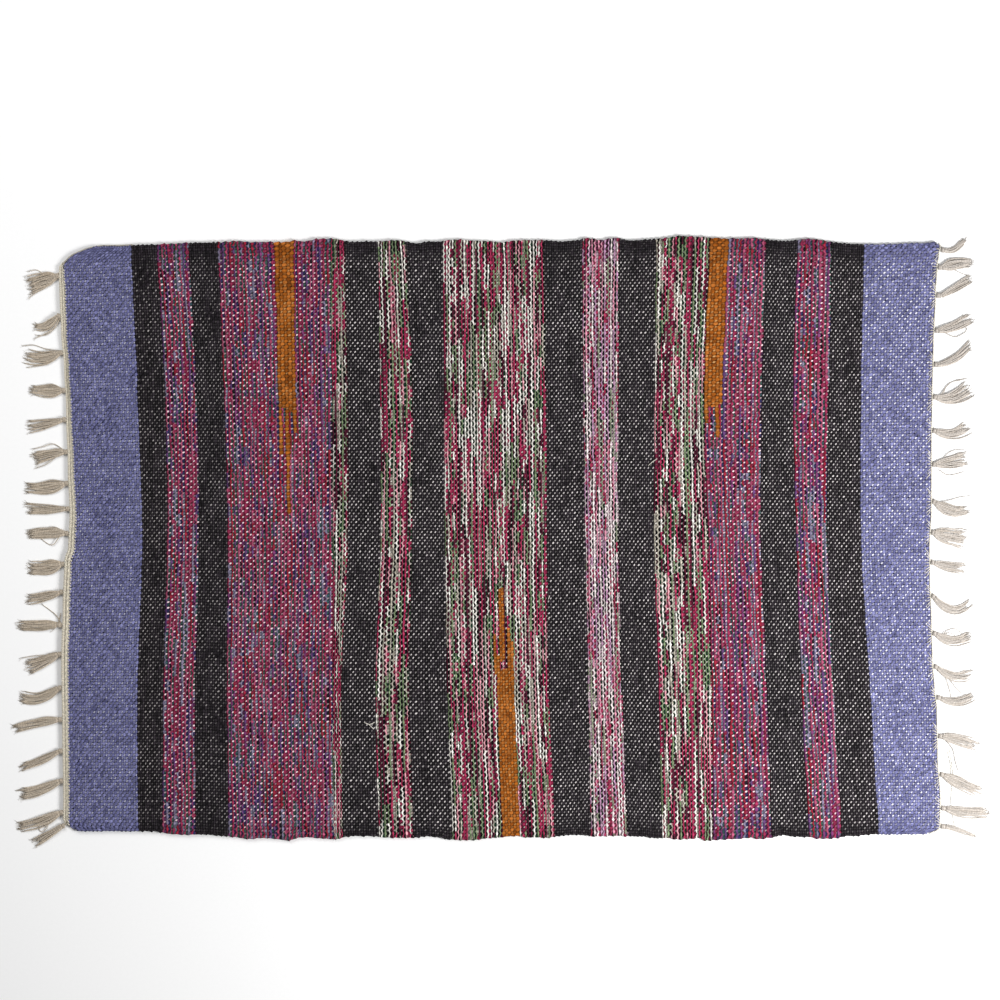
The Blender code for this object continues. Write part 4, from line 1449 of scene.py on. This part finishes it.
def stitch_path(rows, x, y, length, lean, sections):
    """A smooth path through rows of (share of the length, x, share of the lean, y, height)."""
    points = [(x + length * far + out, y + lean * aside + up, z) for far, out, aside, up, z in rows]
    return smooth_path(points, sections)


def add_left_warp_ends(material):
    """Short stitches of every warp over the edge of the cloth to the heading."""
    yarns = Yarns()
    chance = np.random.default_rng(YARN_SEED)
    for x, y in warp_exits(-1):
        if LEFT_HEADING[0][0] < y < LEFT_HEADING[-3][0]:
            length = LEFT_END_LENGTH * chance.uniform(*LEFT_END_SPREAD)
            lean = chance.uniform(-LEFT_END_LEAN, LEFT_END_LEAN)
            path = stitch_path(LEFT_END_POINTS, x, y, length, lean, 6)
            yarns.add(path, LEFT_END_RADIUS, 6)
    return yarns.build("warp_ends_left", material)


def add_right_warp_ends(material):
    """Short slanting stitches that fan over the edge of the cloth to the nearest knot."""
    yarns = Yarns()
    knots = np.array([row[0] for row in RIGHT_TASSELS])
    chance = np.random.default_rng(YARN_SEED + 1)
    for x, y in warp_exits(1):
        away = knots[np.abs(knots - y).argmin()] - y
        if abs(away) <= RIGHT_END_REACH and abs(y) <= RIGHT_HEADING[-1][0] - RIGHT_END_BARE:
            length = RIGHT_END_LENGTH * chance.uniform(*RIGHT_END_SPREAD)
            path = stitch_path(RIGHT_END_POINTS, x, y, length, away * RIGHT_END_LEAN, 7)
            yarns.add(path, RIGHT_END_RADIUS, 5)
    return yarns.build("warp_ends_right", material)


def add_loose_threads(cream, blue):
    """Thread ends that lie on the face, one piece for each colour."""
    pieces = []
    for colour, material in (("cream", cream), ("blue", blue)):
        yarns = Yarns()
        for thread_colour, points in LOOSE_THREADS:
            if thread_colour != colour:
                continue
            path = np.empty((THREAD_POINTS, 3))
            path[:, :2] = smooth_path(points, THREAD_POINTS)
            on_cloth = path[:, 0] < CLOTH_LENGTH / 2 - THREAD_EDGE
            path[:, 2] = np.where(on_cloth, CLOTH_THICKNESS, FLOOR_CLEARANCE) + THREAD_RADIUS
            share = np.linspace(-1.0, 1.0, THREAD_POINTS)
            path[:, 2] -= np.where(on_cloth, THREAD_SINK * share**4, 0.0)
            yarns.add(path, THREAD_RADIUS * (1.0 - THREAD_TAPER * share**4), 5)
        pieces.append(yarns.build(f"loose_threads_{colour}", material))
    return pieces


def add_fringe(label, side, table, heading, material):
    """The knotted tassels of one end, top to bottom."""
    pieces = []
    for number, row in enumerate(table, start=1):
        tassel = Tassel(*row)
        chance = np.random.default_rng((YARN_SEED, number, side + 1))
        back = heading_reach(side, heading, tassel.root_y) + side * CLEARANCE
        start = np.array([back + side * tassel.knot * KNOT_SHARE, tassel.root_y])
        yarns = Yarns()
        add_knot(yarns, chance, back, start, side)
        add_bunch(yarns, chance, tassel, start)
        for points in LOOSE_YARNS.get(f"{label}_{number:02d}", ()):
            add_loose_yarn(yarns, chance, points, KNOT_HEIGHT / 2)
        piece = yarns.build(f"yarns_{label}_{number:02d}", material)
        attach(piece, "root")
        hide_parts(f"tassel_{label}_{number:02d}")
        pieces.append(piece)
    return pieces


def add_camera():
    camera = bpy.data.cameras.new("camera")
    camera.sensor_width = SENSOR_WIDTH
    camera.lens = SENSOR_WIDTH * CAMERA_HEIGHT / FRAME_WIDTH
    holder = bpy.data.objects.new("camera", camera)
    holder.location = (CAMERA_AIM[0] * MM, CAMERA_AIM[1] * MM, CAMERA_HEIGHT * MM)
    bpy.context.scene.collection.objects.link(holder)
    bpy.context.scene.camera = holder


def add_area_light(name, place, size, power):
    light = bpy.data.lights.new(name, "AREA")
    light.shape = "DISK"
    light.size = size
    light.energy = power
    holder = bpy.data.objects.new(name, light)
    holder.location = place
    holder.rotation_euler = (-Vector(place)).to_track_quat("-Z", "Y").to_euler()
    bpy.context.scene.collection.objects.link(holder)


def add_studio():
    """A pale floor, a soft key light from the lower right, and pale light from all round."""
    mesh = bpy.data.meshes.new("floor")
    corners = [(x * FLOOR_HALF, y * FLOOR_HALF, 0.0) for x, y in ((-1, -1), (1, -1), (1, 1), (-1, 1))]
    mesh.from_pydata(corners, [], [(0, 1, 2, 3)])
    floor = bpy.data.objects.new("floor", mesh)
    floor.location = (0.0, 0.0, -FLOOR_DROP)
    recipe = Recipe("floor_paper")
    place = recipe.add("ShaderNodeTexCoord", None, "Object")
    grain = recipe.add("ShaderNodeTexNoise", {"Vector": place, "Scale": PAPER_GRAIN})
    colour = recipe.blend(grain, *(linear(*tone) for tone in PAPER_TONES))
    mesh.materials.append(recipe.finish(colour, PAPER_ROUGHNESS, 0.0))
    bpy.context.scene.collection.objects.link(floor)
    for light in LIGHTS:
        add_area_light(*light)
    world = bpy.data.worlds.new("studio")
    world.use_nodes = True
    background = world.node_tree.nodes["Background"].inputs
    background[0].default_value = (1.0, 1.0, 1.0, 1.0)
    background[1].default_value = WORLD_STRENGTH
    bpy.context.scene.world = world
    bpy.context.scene.view_settings.view_transform = "Standard"


def add_cloth(fringe):
    """The stripes of the cloth, side by side. They share the points where they meet."""
    weave = Weave()
    first_pick = 0
    for stripe in STRIPES:
        patches = PATCHES.get(stripe.name, ())
        material = weave_material(f"weft_{stripe.name}", YARNS[stripe.yarn], patches, first_pick)
        piece = add_stripe(weave, stripe, first_pick, material)
        low, high = 2 * first_pick, 2 * (first_pick + stripe.picks)
        width = (weave.face[:, high, 0] - weave.face[:, low, 0]).mean() * MM
        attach(piece, "root")
        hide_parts("cloth")
        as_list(fringe.get(stripe.name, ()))
        first_pick += stripe.picks


def main():
    add_camera()
    add_studio()
    looks = [cord_material(name, *look) for name, look in CORD_LOOKS.items()]
    cord, pale_cord, yarn_left, yarn_right, blue = looks
    heading_left = add_left_heading(cord)
    heading_right = add_right_heading(pale_cord)
    for piece, node in ((heading_left, "heading_left"), (heading_right, "heading_right")):
        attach(piece, "root")
        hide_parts(node)
    threads, blue_thread = add_loose_threads(pale_cord, blue)
    for piece in (add_left_warp_ends(cord), add_right_warp_ends(pale_cord), threads):
        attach(piece, "root")
    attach(blue_thread, "root")
    left = add_fringe("left", -1, LEFT_TASSELS, LEFT_HEADING, yarn_left)
    right = add_fringe("right", 1, RIGHT_TASSELS, RIGHT_HEADING, yarn_right)
    add_cloth({STRIPES[0].name: [heading_left, *left], STRIPES[-1].name: [heading_right, *right]})


main()
